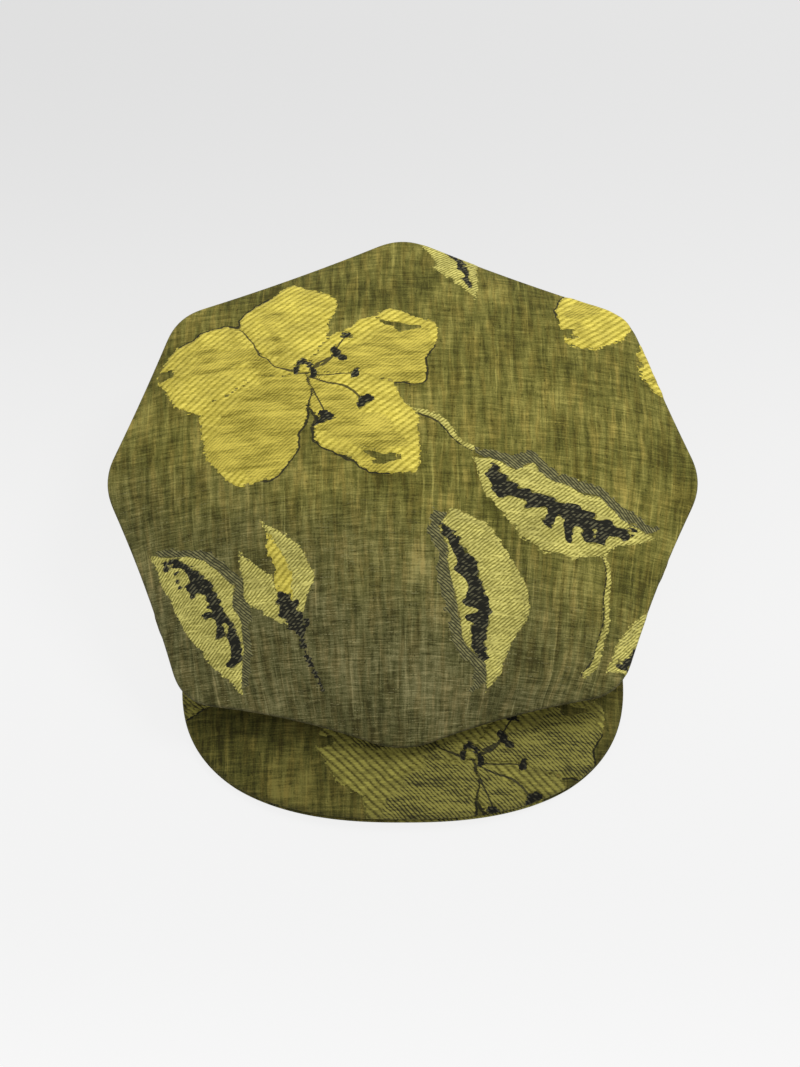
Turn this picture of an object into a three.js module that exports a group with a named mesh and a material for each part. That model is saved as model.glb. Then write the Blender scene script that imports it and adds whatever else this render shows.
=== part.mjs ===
// A soft eight-sided cap: a one-piece crown top, eight side panels turned in under it, a head band and a
// cloth-covered peak made of an upper and a lower cover. Millimetres, +Z up, the peak towards -Y.
// The cap stands on its band and the two sides of its peak, and the crown's front droops over the peak.
// Right is +X, as seen by someone facing the front of the cap.

import * as THREE from "three";

// Cloth and gaps
const CLOTH = 1.5; // thickness of the crown top and the side panels
const BAND_THICKNESS = 2.6; // the band is doubled
const COVER_THICKNESS = 1.6; // each cover of the peak, with its share of the stiffener
const SEAM_GAP = 0.3; // clear space left at every seam

// Crown: its eight corners, front to back on the right; the left ones mirror them
const CORNERS = [
  { name: "front", x: 0, y: -112.4, z: 18.4 },
  { name: "front_side", x: 102.5, y: -86.9, z: 24 },
  { name: "side", x: 142, y: 9.1, z: 58 },
  { name: "back_side", x: 109.5, y: 96.1, z: 67 },
  { name: "back", x: 0, y: 144.6, z: 66 },
];
const EDGE_BOWS = [2.4, 1.6, 0.5, 1.2]; // how far the middle of each edge is drawn in, from the front to the back
const CORNER_TANGENT = 11; // how far from its corner each edge starts to round
const CROWN_HEIGHT = 88; // of its cloth's middle over the table
const CROWN_FULLNESS = 2.4; // power of the crown's fall from its centre to its rim
const RIM_RADIUS = 2.2; // of the cloth's middle where the crown turns under
const SEAM_ANGLE = -14; // degrees below the rim's widest line where top and sides are sewn
const FRONT_FOLD = -68; // where the sides droop below the band's top, the way they face at their foot, in degrees

// Band: an ellipse that fits a head 573 mm round
const HEAD_HALF_WIDTH = 82;
const HEAD_HALF_LENGTH = 100;
const HEAD_CENTRE_Y = 15.1;
const BAND_HEIGHT = 28;
const BAND_FLAT_Y = 61; // the band's edge lies flat behind this
const BAND_FRONT_LIFT = 9; // and is this high at its front

// Peak
const PEAK_HALF_WIDTH = 105;
const PEAK_FRONT_Y = -142.4;
const PEAK_WIDEST_Y = -69;
const PEAK_END = new THREE.Vector2(86, -21); // where its outer edge ends, beside the band
const PEAK_ROUNDNESS = 2.35; // power of the front outline, 2 being an ellipse
const PEAK_ARCH = 3; // rise of the front edge's middle off the table
const PEAK_ARCH_HALF_SPAN = 78;
const PEAK_CAMBER = 1.2; // crowning between the band and the front edge

// Facets
const ARC_STEPS = 2; // along half of a rounded corner
const EDGE_STEPS = 3; // along the straight part of an edge
const TOP_RINGS = 9;
const RIM_STEPS = 3;
const SIDE_STEPS = 8;
const BAND_STEPS = 56;
const PEAK_STEPS = 30;
const PEAK_ROWS = 6;

const OLIVE = 0x69643a;
const FABRIC_ROUGHNESS = 0.9;

const degrees = THREE.MathUtils.degToRad;
const UP = new THREE.Vector3(0, 0, 1);

const right = CORNERS.map((c) => new THREE.Vector3(c.x, c.y, c.z));
const left = right.slice(1, -1).reverse().map((c) => new THREE.Vector3(-c.x, c.y, c.z));
const corners = [...right, ...left];
const corner = (k) => corners[(k + corners.length) % corners.length];
const bows = [...EDGE_BOWS, ...EDGE_BOWS.toReversed()];

const PANEL_NAMES = [
  "side_panel_front_right",
  "side_panel_right_front",
  "side_panel_right_back",
  "side_panel_back_right",
  "side_panel_back_left",
  "side_panel_left_back",
  "side_panel_left_front",
  "side_panel_front_left",
];

// The rounding of one corner: a curve from the edge before it to the edge after it.
function cornerCurve(k) {
  const before = corner(k - 1).clone().sub(corner(k)).setLength(CORNER_TANGENT).add(corner(k));
  const after = corner(k + 1).clone().sub(corner(k)).setLength(CORNER_TANGENT).add(corner(k));
  return new THREE.QuadraticBezierCurve3(before, corner(k), after);
}

// The rim above one side panel, from the middle of corner k's rounding to the middle of the next.
// Each sample has its place and the flat direction that points out of the crown.
function rimSamples(k) {
  const first = cornerCurve(k);
  const last = cornerCurve(k + 1);
  const edge = last.v0.clone().sub(first.v2);
  const inward = new THREE.Vector3(-edge.y, edge.x, 0).setLength(2 * bows[k]);
  const middle = first.v2.clone().lerp(last.v0, 0.5).add(inward);
  const straight = new THREE.QuadraticBezierCurve3(first.v2, middle, last.v0);
  const samples = [];
  const add = (curve, t) => {
    const along = curve.getTangent(t);
    samples.push({ at: curve.getPoint(t), out: new THREE.Vector3(along.y, -along.x, 0).normalize() });
  };
  for (let i = 0; i < ARC_STEPS; i++) add(first, 0.5 + (0.5 * i) / ARC_STEPS);
  for (let i = 0; i < EDGE_STEPS; i++) add(straight, i / EDGE_STEPS);
  for (let i = 0; i <= ARC_STEPS; i++) add(last, (0.5 * i) / ARC_STEPS);
  return samples;
}

// The underside of the band's lower edge: flat at the back, and rising to the front.
function bandBottom(y) {
  const frontY = HEAD_CENTRE_Y - HEAD_HALF_LENGTH;
  const t = THREE.MathUtils.clamp((BAND_FLAT_Y - y) / (BAND_FLAT_Y - frontY), 0, 1);
  return BAND_FRONT_LIFT * t * t;
}

// A point of the band's plan, outset from the inside of the head band. Angle 0 is to the right, 90 to the back.
function bandPoint(angle, outset) {
  const x = (HEAD_HALF_WIDTH + outset) * Math.cos(angle);
  const y = HEAD_CENTRE_Y + (HEAD_HALF_LENGTH + outset) * Math.sin(angle);
  return new THREE.Vector3(x, y, bandBottom(y));
}

// A point on the rolled rim: degrees above its widest line, about a centre set in from the outline,
// and outset from the cloth's middle.
function rimPoint(sample, angle, outset) {
  const radius = RIM_RADIUS + outset;
  const inset = RIM_RADIUS + CLOTH / 2;
  return sample.at.clone()
    .addScaledVector(sample.out, radius * Math.cos(degrees(angle)) - inset)
    .addScaledVector(UP, radius * Math.sin(degrees(angle)));
}

// How much of the rim reaches a point at this share of the way out from the crown's centre, for a part of
// the rim that is so many samples further round. The rim's run is a sum of waves, and each wave fades
// towards the centre as the share to the power of its number, so the corners fade first and the middle is
// round. No power is less than the least one given.
function rimShare(steps, count, share, leastPower) {
  let sum = 0;
  for (let wave = 0; wave <= count / 2; wave++) {
    const both = wave === 0 || wave === count / 2 ? 1 : 2;
    sum += both * share ** Math.max(wave, leastPower) * Math.cos((2 * Math.PI * wave * steps) / count);
  }
  return sum / count;
}

// One ring of the crown inside the edge where its top starts to turn under.
function crownRing(edge, share, height) {
  const count = edge.length;
  const reach = edge.map((_, steps) => rimShare(steps, count, share, 0));
  const depth = edge.map((_, steps) => rimShare(steps, count, share, CROWN_FULLNESS));
  return edge.map((_, j) => {
    const point = new THREE.Vector3(0, 0, height);
    edge.forEach((p, m) => {
      const steps = (j - m + count) % count;
      point.x += reach[steps] * p.x;
      point.y += reach[steps] * p.y;
      point.z -= depth[steps] * (height - p.z);
    });
    return point;
  });
}

// One face of the crown top, outset from its cloth's middle: rings from its centre to its rim, and then rows
// round the rim to the seam. Each part of the rim starts to turn under at the slope that the top has there.
function crownFace(samples, outset) {
  const height = CROWN_HEIGHT + outset;
  let starts = samples.map(() => 60);
  let edge;
  for (let pass = 0; pass < 3; pass++) {
    edge = samples.map((sample, j) => rimPoint(sample, starts[j], outset));
    const inner = crownRing(edge, 0.97, height);
    starts = edge.map((p, j) => {
      const run = Math.hypot(p.x - inner[j].x, p.y - inner[j].y);
      return 90 - THREE.MathUtils.radToDeg(Math.atan2(inner[j].z - p.z, run));
    });
  }
  const rows = [];
  for (let i = 0; i < TOP_RINGS; i++) rows.push(crownRing(edge, i / TOP_RINGS, height));
  const end = SEAM_ANGLE + THREE.MathUtils.radToDeg(SEAM_GAP / 2 / RIM_RADIUS);
  for (let i = 0; i <= RIM_STEPS; i++) {
    rows.push(samples.map((sample, j) => rimPoint(sample, THREE.MathUtils.lerp(starts[j], end, i / RIM_STEPS), outset)));
  }
  return rows;
}

// One section of a side panel, outset from its cloth's middle, from the seam under the rim to the band's
// top edge. It leaves the rim heading for the band. It comes down to the band upright at the back and
// the sides, and folds over it at the front, where the rim hangs lower than the band's top.
function sideSection(sample, outset) {
  const angle = Math.atan2(
    (sample.at.y - HEAD_CENTRE_Y) / HEAD_HALF_LENGTH,
    sample.at.x / HEAD_HALF_WIDTH,
  );
  const foot = bandPoint(angle, BAND_THICKNESS / 2);
  foot.z += BAND_HEIGHT + SEAM_GAP;
  const footOut = new THREE.Vector3(HEAD_HALF_LENGTH * Math.cos(angle), HEAD_HALF_WIDTH * Math.sin(angle), 0);
  footOut.normalize();
  const run = Math.hypot(sample.at.x - foot.x, sample.at.y - foot.y);
  const descent = THREE.MathUtils.radToDeg(Math.atan2(sample.at.z - RIM_RADIUS - foot.z, run));
  const facing = FRONT_FOLD * (1 - THREE.MathUtils.smoothstep(descent, -30, 15));
  foot.z += (CLOTH / 2) * Math.sin(degrees(-facing));

  const turnedUnder = -90 + descent;
  const start = SEAM_ANGLE - THREE.MathUtils.radToDeg(SEAM_GAP / 2 / RIM_RADIUS);
  const points = [];
  for (let i = 0; i < RIM_STEPS; i++) {
    points.push(rimPoint(sample, THREE.MathUtils.lerp(start, turnedUnder, i / RIM_STEPS), outset));
  }
  const from = rimPoint(sample, turnedUnder, 0);
  const heading = (out, normalAngle) => out.clone().multiplyScalar(Math.sin(degrees(normalAngle)))
    .addScaledVector(UP, -Math.cos(degrees(normalAngle)));
  const reach = 0.35 * Math.hypot(run, from.z - foot.z);
  const rise = 7 + 3 * THREE.MathUtils.smoothstep(descent, -30, 30);
  const fall = new THREE.CubicBezierCurve3(
    from,
    from.clone().addScaledVector(heading(sample.out, turnedUnder), reach),
    foot.clone().addScaledVector(heading(footOut, facing), -rise),
    foot,
  );
  for (let i = 0; i <= SIDE_STEPS; i++) {
    const t = i / SIDE_STEPS;
    const along = UP.clone().cross(sample.out.clone().lerp(footOut, t));
    const normal = fall.getTangent(t).cross(along).normalize();
    points.push(fall.getPoint(t).addScaledVector(normal, outset));
  }
  return points;
}

// One closed sheet between an outer and an inner grid of points. A loop joins its last column to its first,
// and a sheet with a pole starts from a single point on each side.
function sheetGeometry(outer, inner, { isLoop = false, hasPole = false } = {}) {
  const height = outer.length;
  const width = outer[0].length;
  const position = [];
  const index = [];
  for (const grid of [outer, inner]) {
    for (const row of grid) for (const p of row) position.push(p.x, p.y, p.z);
  }
  const half = height * width;
  const at = (side, i, j) => side * half + i * width + (j % width);
  const quad = (a, b, c, d) => index.push(a, b, c, a, c, d);
  const columns = isLoop ? width : width - 1;
  for (let i = 0; i < height - 1; i++) {
    for (let j = 0; j < columns; j++) {
      if (hasPole && i === 0) {
        index.push(at(0, 0, 0), at(0, 1, j), at(0, 1, j + 1));
        index.push(at(1, 0, 0), at(1, 1, j + 1), at(1, 1, j));
        continue;
      }
      quad(at(0, i, j), at(0, i + 1, j), at(0, i + 1, j + 1), at(0, i, j + 1));
      quad(at(1, i, j), at(1, i, j + 1), at(1, i + 1, j + 1), at(1, i + 1, j));
    }
  }
  for (let j = 0; j < columns; j++) {
    const end = height - 1;
    quad(at(0, end, j), at(1, end, j), at(1, end, j + 1), at(0, end, j + 1));
    if (!hasPole) quad(at(0, 0, j), at(0, 0, j + 1), at(1, 0, j + 1), at(1, 0, j));
  }
  if (!isLoop) {
    const side = width - 1;
    for (let i = 0; i < height - 1; i++) {
      quad(at(0, i, 0), at(1, i, 0), at(1, i + 1, 0), at(0, i + 1, 0));
      quad(at(0, i, side), at(0, i + 1, side), at(1, i + 1, side), at(1, i, side));
    }
  }
  const geometry = new THREE.BufferGeometry();
  geometry.setAttribute("position", new THREE.Float32BufferAttribute(position, 3));
  geometry.setIndex(index);
  geometry.computeVertexNormals();
  return geometry;
}

function piece(name, geometry) {
  const material = new THREE.MeshStandardMaterial({ color: OLIVE, roughness: FABRIC_ROUGHNESS, metalness: 0 });
  const mesh = new THREE.Mesh(geometry, material);
  mesh.name = name;
  return mesh;
}

function crownTop() {
  const samples = corners.flatMap((_, k) => rimSamples(k).slice(0, -1));
  const face = (outset) => crownFace(samples, outset);
  return piece("crown_top", sheetGeometry(face(CLOTH / 2), face(-CLOTH / 2), { isLoop: true, hasPole: true }));
}

// The panel's two ends are drawn in along the rim, so that neighbours stay clear of each other.
function sidePanel(k) {
  const samples = rimSamples(k);
  const step = (sample, sign) => {
    const along = new THREE.Vector3(-sample.out.y, sample.out.x, 0);
    sample.at.addScaledVector(along, (sign * SEAM_GAP * 2) / 3);
  };
  step(samples[0], 1);
  step(samples.at(-1), -1);
  const face = (outset) => {
    const sections = samples.map((sample) => sideSection(sample, outset));
    return sections[0].map((_, i) => sections.map((points) => points[i]));
  };
  return piece(PANEL_NAMES[k], sheetGeometry(face(CLOTH / 2), face(-CLOTH / 2)));
}

function band() {
  const lower = [];
  const upper = [];
  for (let j = 0; j < BAND_STEPS; j++) {
    const angle = (2 * Math.PI * j) / BAND_STEPS;
    lower.push([bandPoint(angle, BAND_THICKNESS), bandPoint(angle, 0)]);
    upper.push(lower[j].map((p) => p.clone().addScaledVector(UP, BAND_HEIGHT)));
  }
  const side = (i) => [upper.map((pair) => pair[i]), lower.map((pair) => pair[i])];
  return piece("band", sheetGeometry(side(0), side(1), { isLoop: true }));
}

// The right half of the peak's outer edge in plan, from the middle of the front to its end beside the band:
// a rounded front as far as the widest place, then a quarter of an ellipse.
class PeakEdge extends THREE.Curve {
  getPoint(t, target = new THREE.Vector2()) {
    const turn = 1.5 * Math.PI * t;
    const power = 2 / PEAK_ROUNDNESS;
    if (turn < Math.PI / 2) {
      return target.set(
        PEAK_HALF_WIDTH * Math.sin(turn) ** power,
        PEAK_WIDEST_Y + (PEAK_FRONT_Y - PEAK_WIDEST_Y) * Math.cos(turn) ** power,
      );
    }
    const back = (turn - Math.PI / 2) / 2;
    return target.set(
      PEAK_END.x + (PEAK_HALF_WIDTH - PEAK_END.x) * Math.cos(back),
      PEAK_WIDEST_Y + (PEAK_END.y - PEAK_WIDEST_Y) * Math.sin(back),
    );
  }
}

// The underside of the peak as rows of points, from the band out to the front edge.
function peakUnderside() {
  const edge = new PeakEdge();
  const bandOutset = BAND_THICKNESS + SEAM_GAP;
  const endAngle = Math.asin((PEAK_END.y - HEAD_CENTRE_Y) / (HEAD_HALF_LENGTH + bandOutset));
  const rows = Array.from({ length: PEAK_ROWS + 1 }, () => []);
  for (let j = 0; j <= PEAK_STEPS; j++) {
    const across = (2 * j) / PEAK_STEPS - 1;
    const root = bandPoint(-Math.PI / 2 + across * (endAngle + Math.PI / 2), bandOutset);
    const plan = edge.getPointAt(Math.abs(across));
    const rise = PEAK_ARCH * Math.max(0, 1 - (plan.x / PEAK_ARCH_HALF_SPAN) ** 2);
    const rim = new THREE.Vector3(Math.sign(across) * plan.x, plan.y, rise);
    rows.forEach((row, i) => {
      const share = i / PEAK_ROWS;
      const point = root.clone().lerp(rim, share);
      point.z += PEAK_CAMBER * Math.sin(Math.PI * share);
      row.push(point);
    });
  }
  return rows;
}

function peakCover(name, height) {
  const under = peakUnderside();
  const lift = (by) => under.map((row) => row.map((p) => p.clone().addScaledVector(UP, by)));
  return piece(name, sheetGeometry(lift(height + COVER_THICKNESS), lift(height)));
}

const cap = new THREE.Group();
cap.add(crownTop());
corners.forEach((_, k) => cap.add(sidePanel(k)));
cap.add(band());
cap.add(peakCover("peak_lower_cover", 0));
cap.add(peakCover("peak_upper_cover", COVER_THICKNESS + SEAM_GAP));

export default cap;
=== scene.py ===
"""A soft cap with an eight-cornered crown and a covered peak, in a flower jacquard.

Everything is in metres, +Z up, with the peak towards -Y. The cap stands on its head band and the two sides
of its peak. Each cloth piece is a surface worked out with numpy from named sizes. It carries a map of the
places of its own flat cloth, and the jacquard's flowers are drawn on that map as distances to the edges of
its weaves.
"""

from __future__ import annotations

import logging
import math
import sys
from collections.abc import Mapping, Sequence
from dataclasses import dataclass, field
from enum import Enum

import bpy
import numpy as np
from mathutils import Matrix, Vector

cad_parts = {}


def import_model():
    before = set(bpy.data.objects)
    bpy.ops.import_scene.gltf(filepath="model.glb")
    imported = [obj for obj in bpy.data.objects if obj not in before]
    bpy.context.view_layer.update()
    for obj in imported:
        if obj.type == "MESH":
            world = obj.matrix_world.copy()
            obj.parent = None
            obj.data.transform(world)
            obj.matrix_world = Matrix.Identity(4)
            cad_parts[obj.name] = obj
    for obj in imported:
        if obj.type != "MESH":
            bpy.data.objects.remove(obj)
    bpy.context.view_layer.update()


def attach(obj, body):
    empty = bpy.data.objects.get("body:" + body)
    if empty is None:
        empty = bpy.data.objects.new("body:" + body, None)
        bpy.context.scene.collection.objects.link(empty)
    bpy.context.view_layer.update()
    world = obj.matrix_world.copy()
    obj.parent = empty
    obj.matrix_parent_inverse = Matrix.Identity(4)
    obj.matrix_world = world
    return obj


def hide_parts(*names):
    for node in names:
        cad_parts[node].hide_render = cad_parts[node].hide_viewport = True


LOG = logging.getLogger("cap")

MM = 0.001
TAU = 2 * math.pi
CLOTH_MAP = "Cloth"
UP = np.array([0.0, 0.0, 1.0])
CORNERS = 8  # of the crown
FAR = 400.0  # millimetres from any motif
KEPT_DEPTH = 20.0  # millimetres from an edge past which its distance is kept at this


class Slot(Enum):
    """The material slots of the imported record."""

    CROWN = "crown_cloth"
    BAND = "band_cloth"
    PEAK = "peak_cloth"


class Weave(Enum):
    """The figured weaves of the jacquard. Anything outside them is its plain ground."""

    COARSE = "coarse_twill"
    SATIN = "satin"
    FINE = "fine_twill"
    SHADE = "shaded_twill"
    DARK = "dark_twill"


# The weaves of the right side behind which the wrong side shows each weave.
IN_FRONT_OF = {
    Weave.COARSE: (Weave.DARK,),
    Weave.SATIN: (),
    Weave.FINE: (Weave.SHADE,),
    Weave.SHADE: (Weave.SATIN, Weave.FINE),
    Weave.DARK: (Weave.COARSE,),
}


# Curves and unevenness


def smooth_step(value: np.ndarray, start: float, end: float) -> np.ndarray:
    """Ease from 0 at start to 1 at end, level at both.

    Args:
        value: Numbers to ease.
        start: Where the rise begins.
        end: Where it ends.

    Returns:
        3t² - 2t³, with t the share of the way from start to end, kept from 0 to 1.
    """
    t = np.clip((value - start) / (end - start), 0, 1)
    return t * t * (3 - 2 * t)


def unit(vectors: np.ndarray) -> np.ndarray:
    """The vectors of the last axis, each divided by its length."""
    return vectors / np.maximum(np.linalg.norm(vectors, axis=-1, keepdims=True), 1e-12)


def headed(heading: float) -> tuple[np.ndarray, np.ndarray]:
    """The direction of a heading in degrees on a plane, and the direction to its left."""
    turn = math.radians(heading)
    ahead = np.array([math.cos(turn), math.sin(turn)])
    return ahead, np.array([-ahead[1], ahead[0]])


def ripples(x: np.ndarray, y: np.ndarray, wavelength: float, seed: int, waves: int = 9) -> np.ndarray:
    """A smooth, seeded unevenness of a plane, of about -1 to 1.

    Args:
        x: First coordinate of each place.
        y: Second coordinate of each place.
        wavelength: Middle length of the waves, in the coordinates' unit.
        seed: Picks the waves.
        waves: How many waves are summed.

    Returns:
        The sum of sine waves of nearly one length that run in many directions, over the root of their
        number.
    """
    pick = np.random.default_rng(seed)
    heading, phase = pick.uniform(0, TAU, (2, waves))
    length = wavelength * pick.uniform(0.7, 1.5, waves)
    along = np.cos(heading) * x[..., None] + np.sin(heading) * y[..., None]
    return np.sin(TAU * along / length + phase).sum(-1) / math.sqrt(waves)


def bezier(controls: Sequence[np.ndarray], t: np.ndarray) -> np.ndarray:
    """A Bézier curve, or many at once.

    Args:
        controls: Three or four control points, each an array whose last axis is the place.
        t: Share of the way along, broadcast against the controls.

    Returns:
        The sum of each control times its binomial weight, C(n, i) · t^i · (1 - t)^(n - i).
    """
    degree = len(controls) - 1
    total = 0.0
    for i, control in enumerate(controls):
        total = total + math.comb(degree, i) * t**i * (1 - t) ** (degree - i) * control
    return total


# The jacquard's drawing


class Drawing:
    """The jacquard's weaves at many places of a cloth, in millimetres to each weave's edge, positive inside.

    Attributes:
        rows: An array with one column for each place and one row for each of what follows.
        depth: The depth inside each weave.
        line_side: Distance to the left of the nearest thin dark line.
        line_near: 2 less the distance to it.
        rise: Height of the cloth's own relief, as a share of the design's swell.
    """

    def __init__(self, rows: np.ndarray) -> None:
        """Name the rows of an array."""
        self.rows = rows
        self.depth = dict(zip(Weave, rows))
        self.line_side, self.line_near, self.rise = rows[len(Weave) :]

    @classmethod
    def ground(cls, count: int) -> Drawing:
        """Plain ground at so many places."""
        return cls(np.tile([[-FAR]] * len(Weave) + [[FAR], [-FAR], [0.0]], count))

    def part(self, some: np.ndarray) -> Drawing:
        """Copy some of the places into a drawing of their own."""
        return Drawing(self.rows[:, some])

    def joined(self, other: Drawing) -> Drawing:
        """This drawing's places followed by the other's."""
        return Drawing(np.hstack([self.rows, other.rows]))

    def replace(self, some: np.ndarray, by: Drawing) -> None:
        """Put a part back in its places."""
        self.rows[:, some] = by.rows

    def draw_line(self, side: np.ndarray, near: np.ndarray) -> None:
        """Add a thin dark line, of the width that the finish gives it.

        A line is kept as a signed distance because that stays exact between a mesh's points. Where another
        line is nearer, that one is kept.

        Args:
            side: Distance to the left of the line.
            near: 2 less the distance to it. The line ends where this falls below 1.
        """
        nearer = near > self.line_near
        self.line_side[nearer] = side[nearer]
        self.line_near[nearer] = near[nearer]

    def paint(self, inside: np.ndarray, weaves: Mapping[Weave, np.ndarray], puff: float = 0.0) -> None:
        """Lay a shape over what is drawn so far.

        Each weave is first cut back by the shape, as the least of its own depth and the way out of the
        shape, and the shape's own weaves are then joined to it, as the greatest of the two depths. Inside
        the shape the relief becomes its puff, which it reaches 3.5 mm in from its edge.

        Args:
            inside: Depth inside the shape at each place.
            weaves: Depth inside each of its weaves, where that lies inside the shape.
            puff: Height of the shape's own relief, as a share of the swell, or 0 to keep what is there.
        """
        for weave in Weave:
            np.minimum(self.depth[weave], -inside, out=self.depth[weave])
        np.minimum(self.line_near, 1 - inside, out=self.line_near)
        for weave, where in weaves.items():
            np.maximum(self.depth[weave], np.minimum(inside, where), out=self.depth[weave])
        if puff:
            over = smooth_step(inside, -0.4, 0.6)
            self.rise *= 1 - over
            self.rise += puff * smooth_step(inside, -0.4, 3.1) * over


@dataclass(frozen=True)
class Blade:
    """The outline of a petal, leaf or bud, drawn about a bent rib. Millimetres and degrees.

    Attributes:
        root: Where it grows from, from the anchor of its motif.
        heading: Direction of its rib, 0 to the right of the cloth and 90 to its back.
        length: Length of its rib.
        half_width: Half of its greatest width.
        bend: How far the rib's middle bows to its left, as a share of its length.
        belly: Where it is widest, as a share of its length.
        root_power, tip_power: How it narrows to its root and its tip. 0.5 is blunt, 1 pointed and more
            is drawn out.
        seed, wave: Picks the unevenness of its edge, and the depth of that.
    """

    root: tuple[float, float]
    heading: float
    length: float
    half_width: float
    bend: float = 0.0
    belly: float = 0.5
    root_power: float = 0.8
    tip_power: float = 0.5
    seed: int = 1
    wave: float = 1.2

    def width(self, share: np.ndarray) -> np.ndarray:
        """Half its width at a share of its rib.

        It is the half width times a quarter sine that rises from the root to the belly, to the root power,
        and times one that falls from the belly to the tip, to the tip power.
        """
        rise = np.sin(math.pi / 2 * np.clip(share / self.belly, 0, 1)) ** self.root_power
        fall = np.sin(math.pi / 2 * np.clip((1 - share) / (1 - self.belly), 0, 1)) ** self.tip_power
        return self.half_width * rise * fall

    def place(self, at: np.ndarray) -> tuple[np.ndarray, np.ndarray, np.ndarray]:
        """Find places of the cloth on the blade.

        Args:
            at: Places from the motif's anchor, one row each.

        Returns:
            The depth inside its edge, the share of the way along its rib, and the distance to the left of
            its rib. The depth is the half width less that distance, over the slope of the edge.
        """
        forward, leftward = headed(self.heading)
        local = at - np.array(self.root)
        along = local @ forward
        share = along / self.length
        held = np.clip(share, -0.2, 1.2)
        bow = 4 * self.bend * self.length * held * (1 - held)
        aside = local @ leftward - bow
        step = 0.02
        slope = (self.width(share + step) - self.width(share - step)) / (2 * step * self.length)
        uneven = ripples(*local.T, 19, self.seed) + 0.35 * ripples(*local.T, 6.5, self.seed + 40)
        edge = self.width(share)
        edge = edge + self.wave * uneven * np.minimum(edge / 8, 1)
        depth = (edge - np.abs(aside)) / np.sqrt(1 + np.minimum(slope**2, 4))
        beyond = np.maximum(-along, along - self.length)
        return np.where(beyond > 0, -np.hypot(beyond, aside), depth), share, aside


@dataclass(frozen=True)
class Thread:
    """A curved line such as a stamen or a stem. Millimetres.

    Attributes:
        points: Three control points of its curve, from the anchor of its motif.
        half_width, taper: Half its width at its start and at its end.
        pieces: How many straight pieces stand for its curve.
    """

    points: tuple[tuple[float, float], tuple[float, float], tuple[float, float]]
    half_width: float = 0.85
    taper: float = 0.85
    pieces: int = 12

    def place(self, at: np.ndarray) -> tuple[np.ndarray, np.ndarray]:
        """Find the places' depth inside the line and their side of it.

        Args:
            at: Places from the motif's anchor, one row each.

        Returns:
            The line's half width less the distance to the nearest of the straight pieces of its curve, and
            that distance, negative to the right of the line.
        """
        t = np.linspace(0, 1, self.pieces + 1)[:, None]
        curve = bezier([np.array(p, float) for p in self.points], t)
        start, along = curve[:-1], np.diff(curve, axis=0)
        offset = at[:, None, :] - start
        share = np.clip((offset * along).sum(-1) / (along**2).sum(-1), 0, 1)
        distance = np.linalg.norm(offset - share[..., None] * along, axis=-1)
        nearest = distance.argmin(1)
        way = (nearest + np.take_along_axis(share, nearest[:, None], 1)[:, 0]) / len(start)
        least = distance.min(1)
        ahead, away = along[nearest], np.take_along_axis(offset, nearest[:, None, None], 1)[:, 0]
        left = np.sign(ahead[:, 0] * away[:, 1] - ahead[:, 1] * away[:, 0])
        return self.half_width + (self.taper - self.half_width) * way - least, left * least


class Motif:
    """Something drawn on the jacquard round an anchor, once in each repeat."""

    anchor: tuple[float, float]

    def paint(self, drawing: Drawing, at: np.ndarray) -> None:
        """Paint the motif.

        Args:
            drawing: The drawing that it goes on.
            at: The drawing's places, from the nearest copy of the anchor.
        """
        raise NotImplementedError


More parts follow.
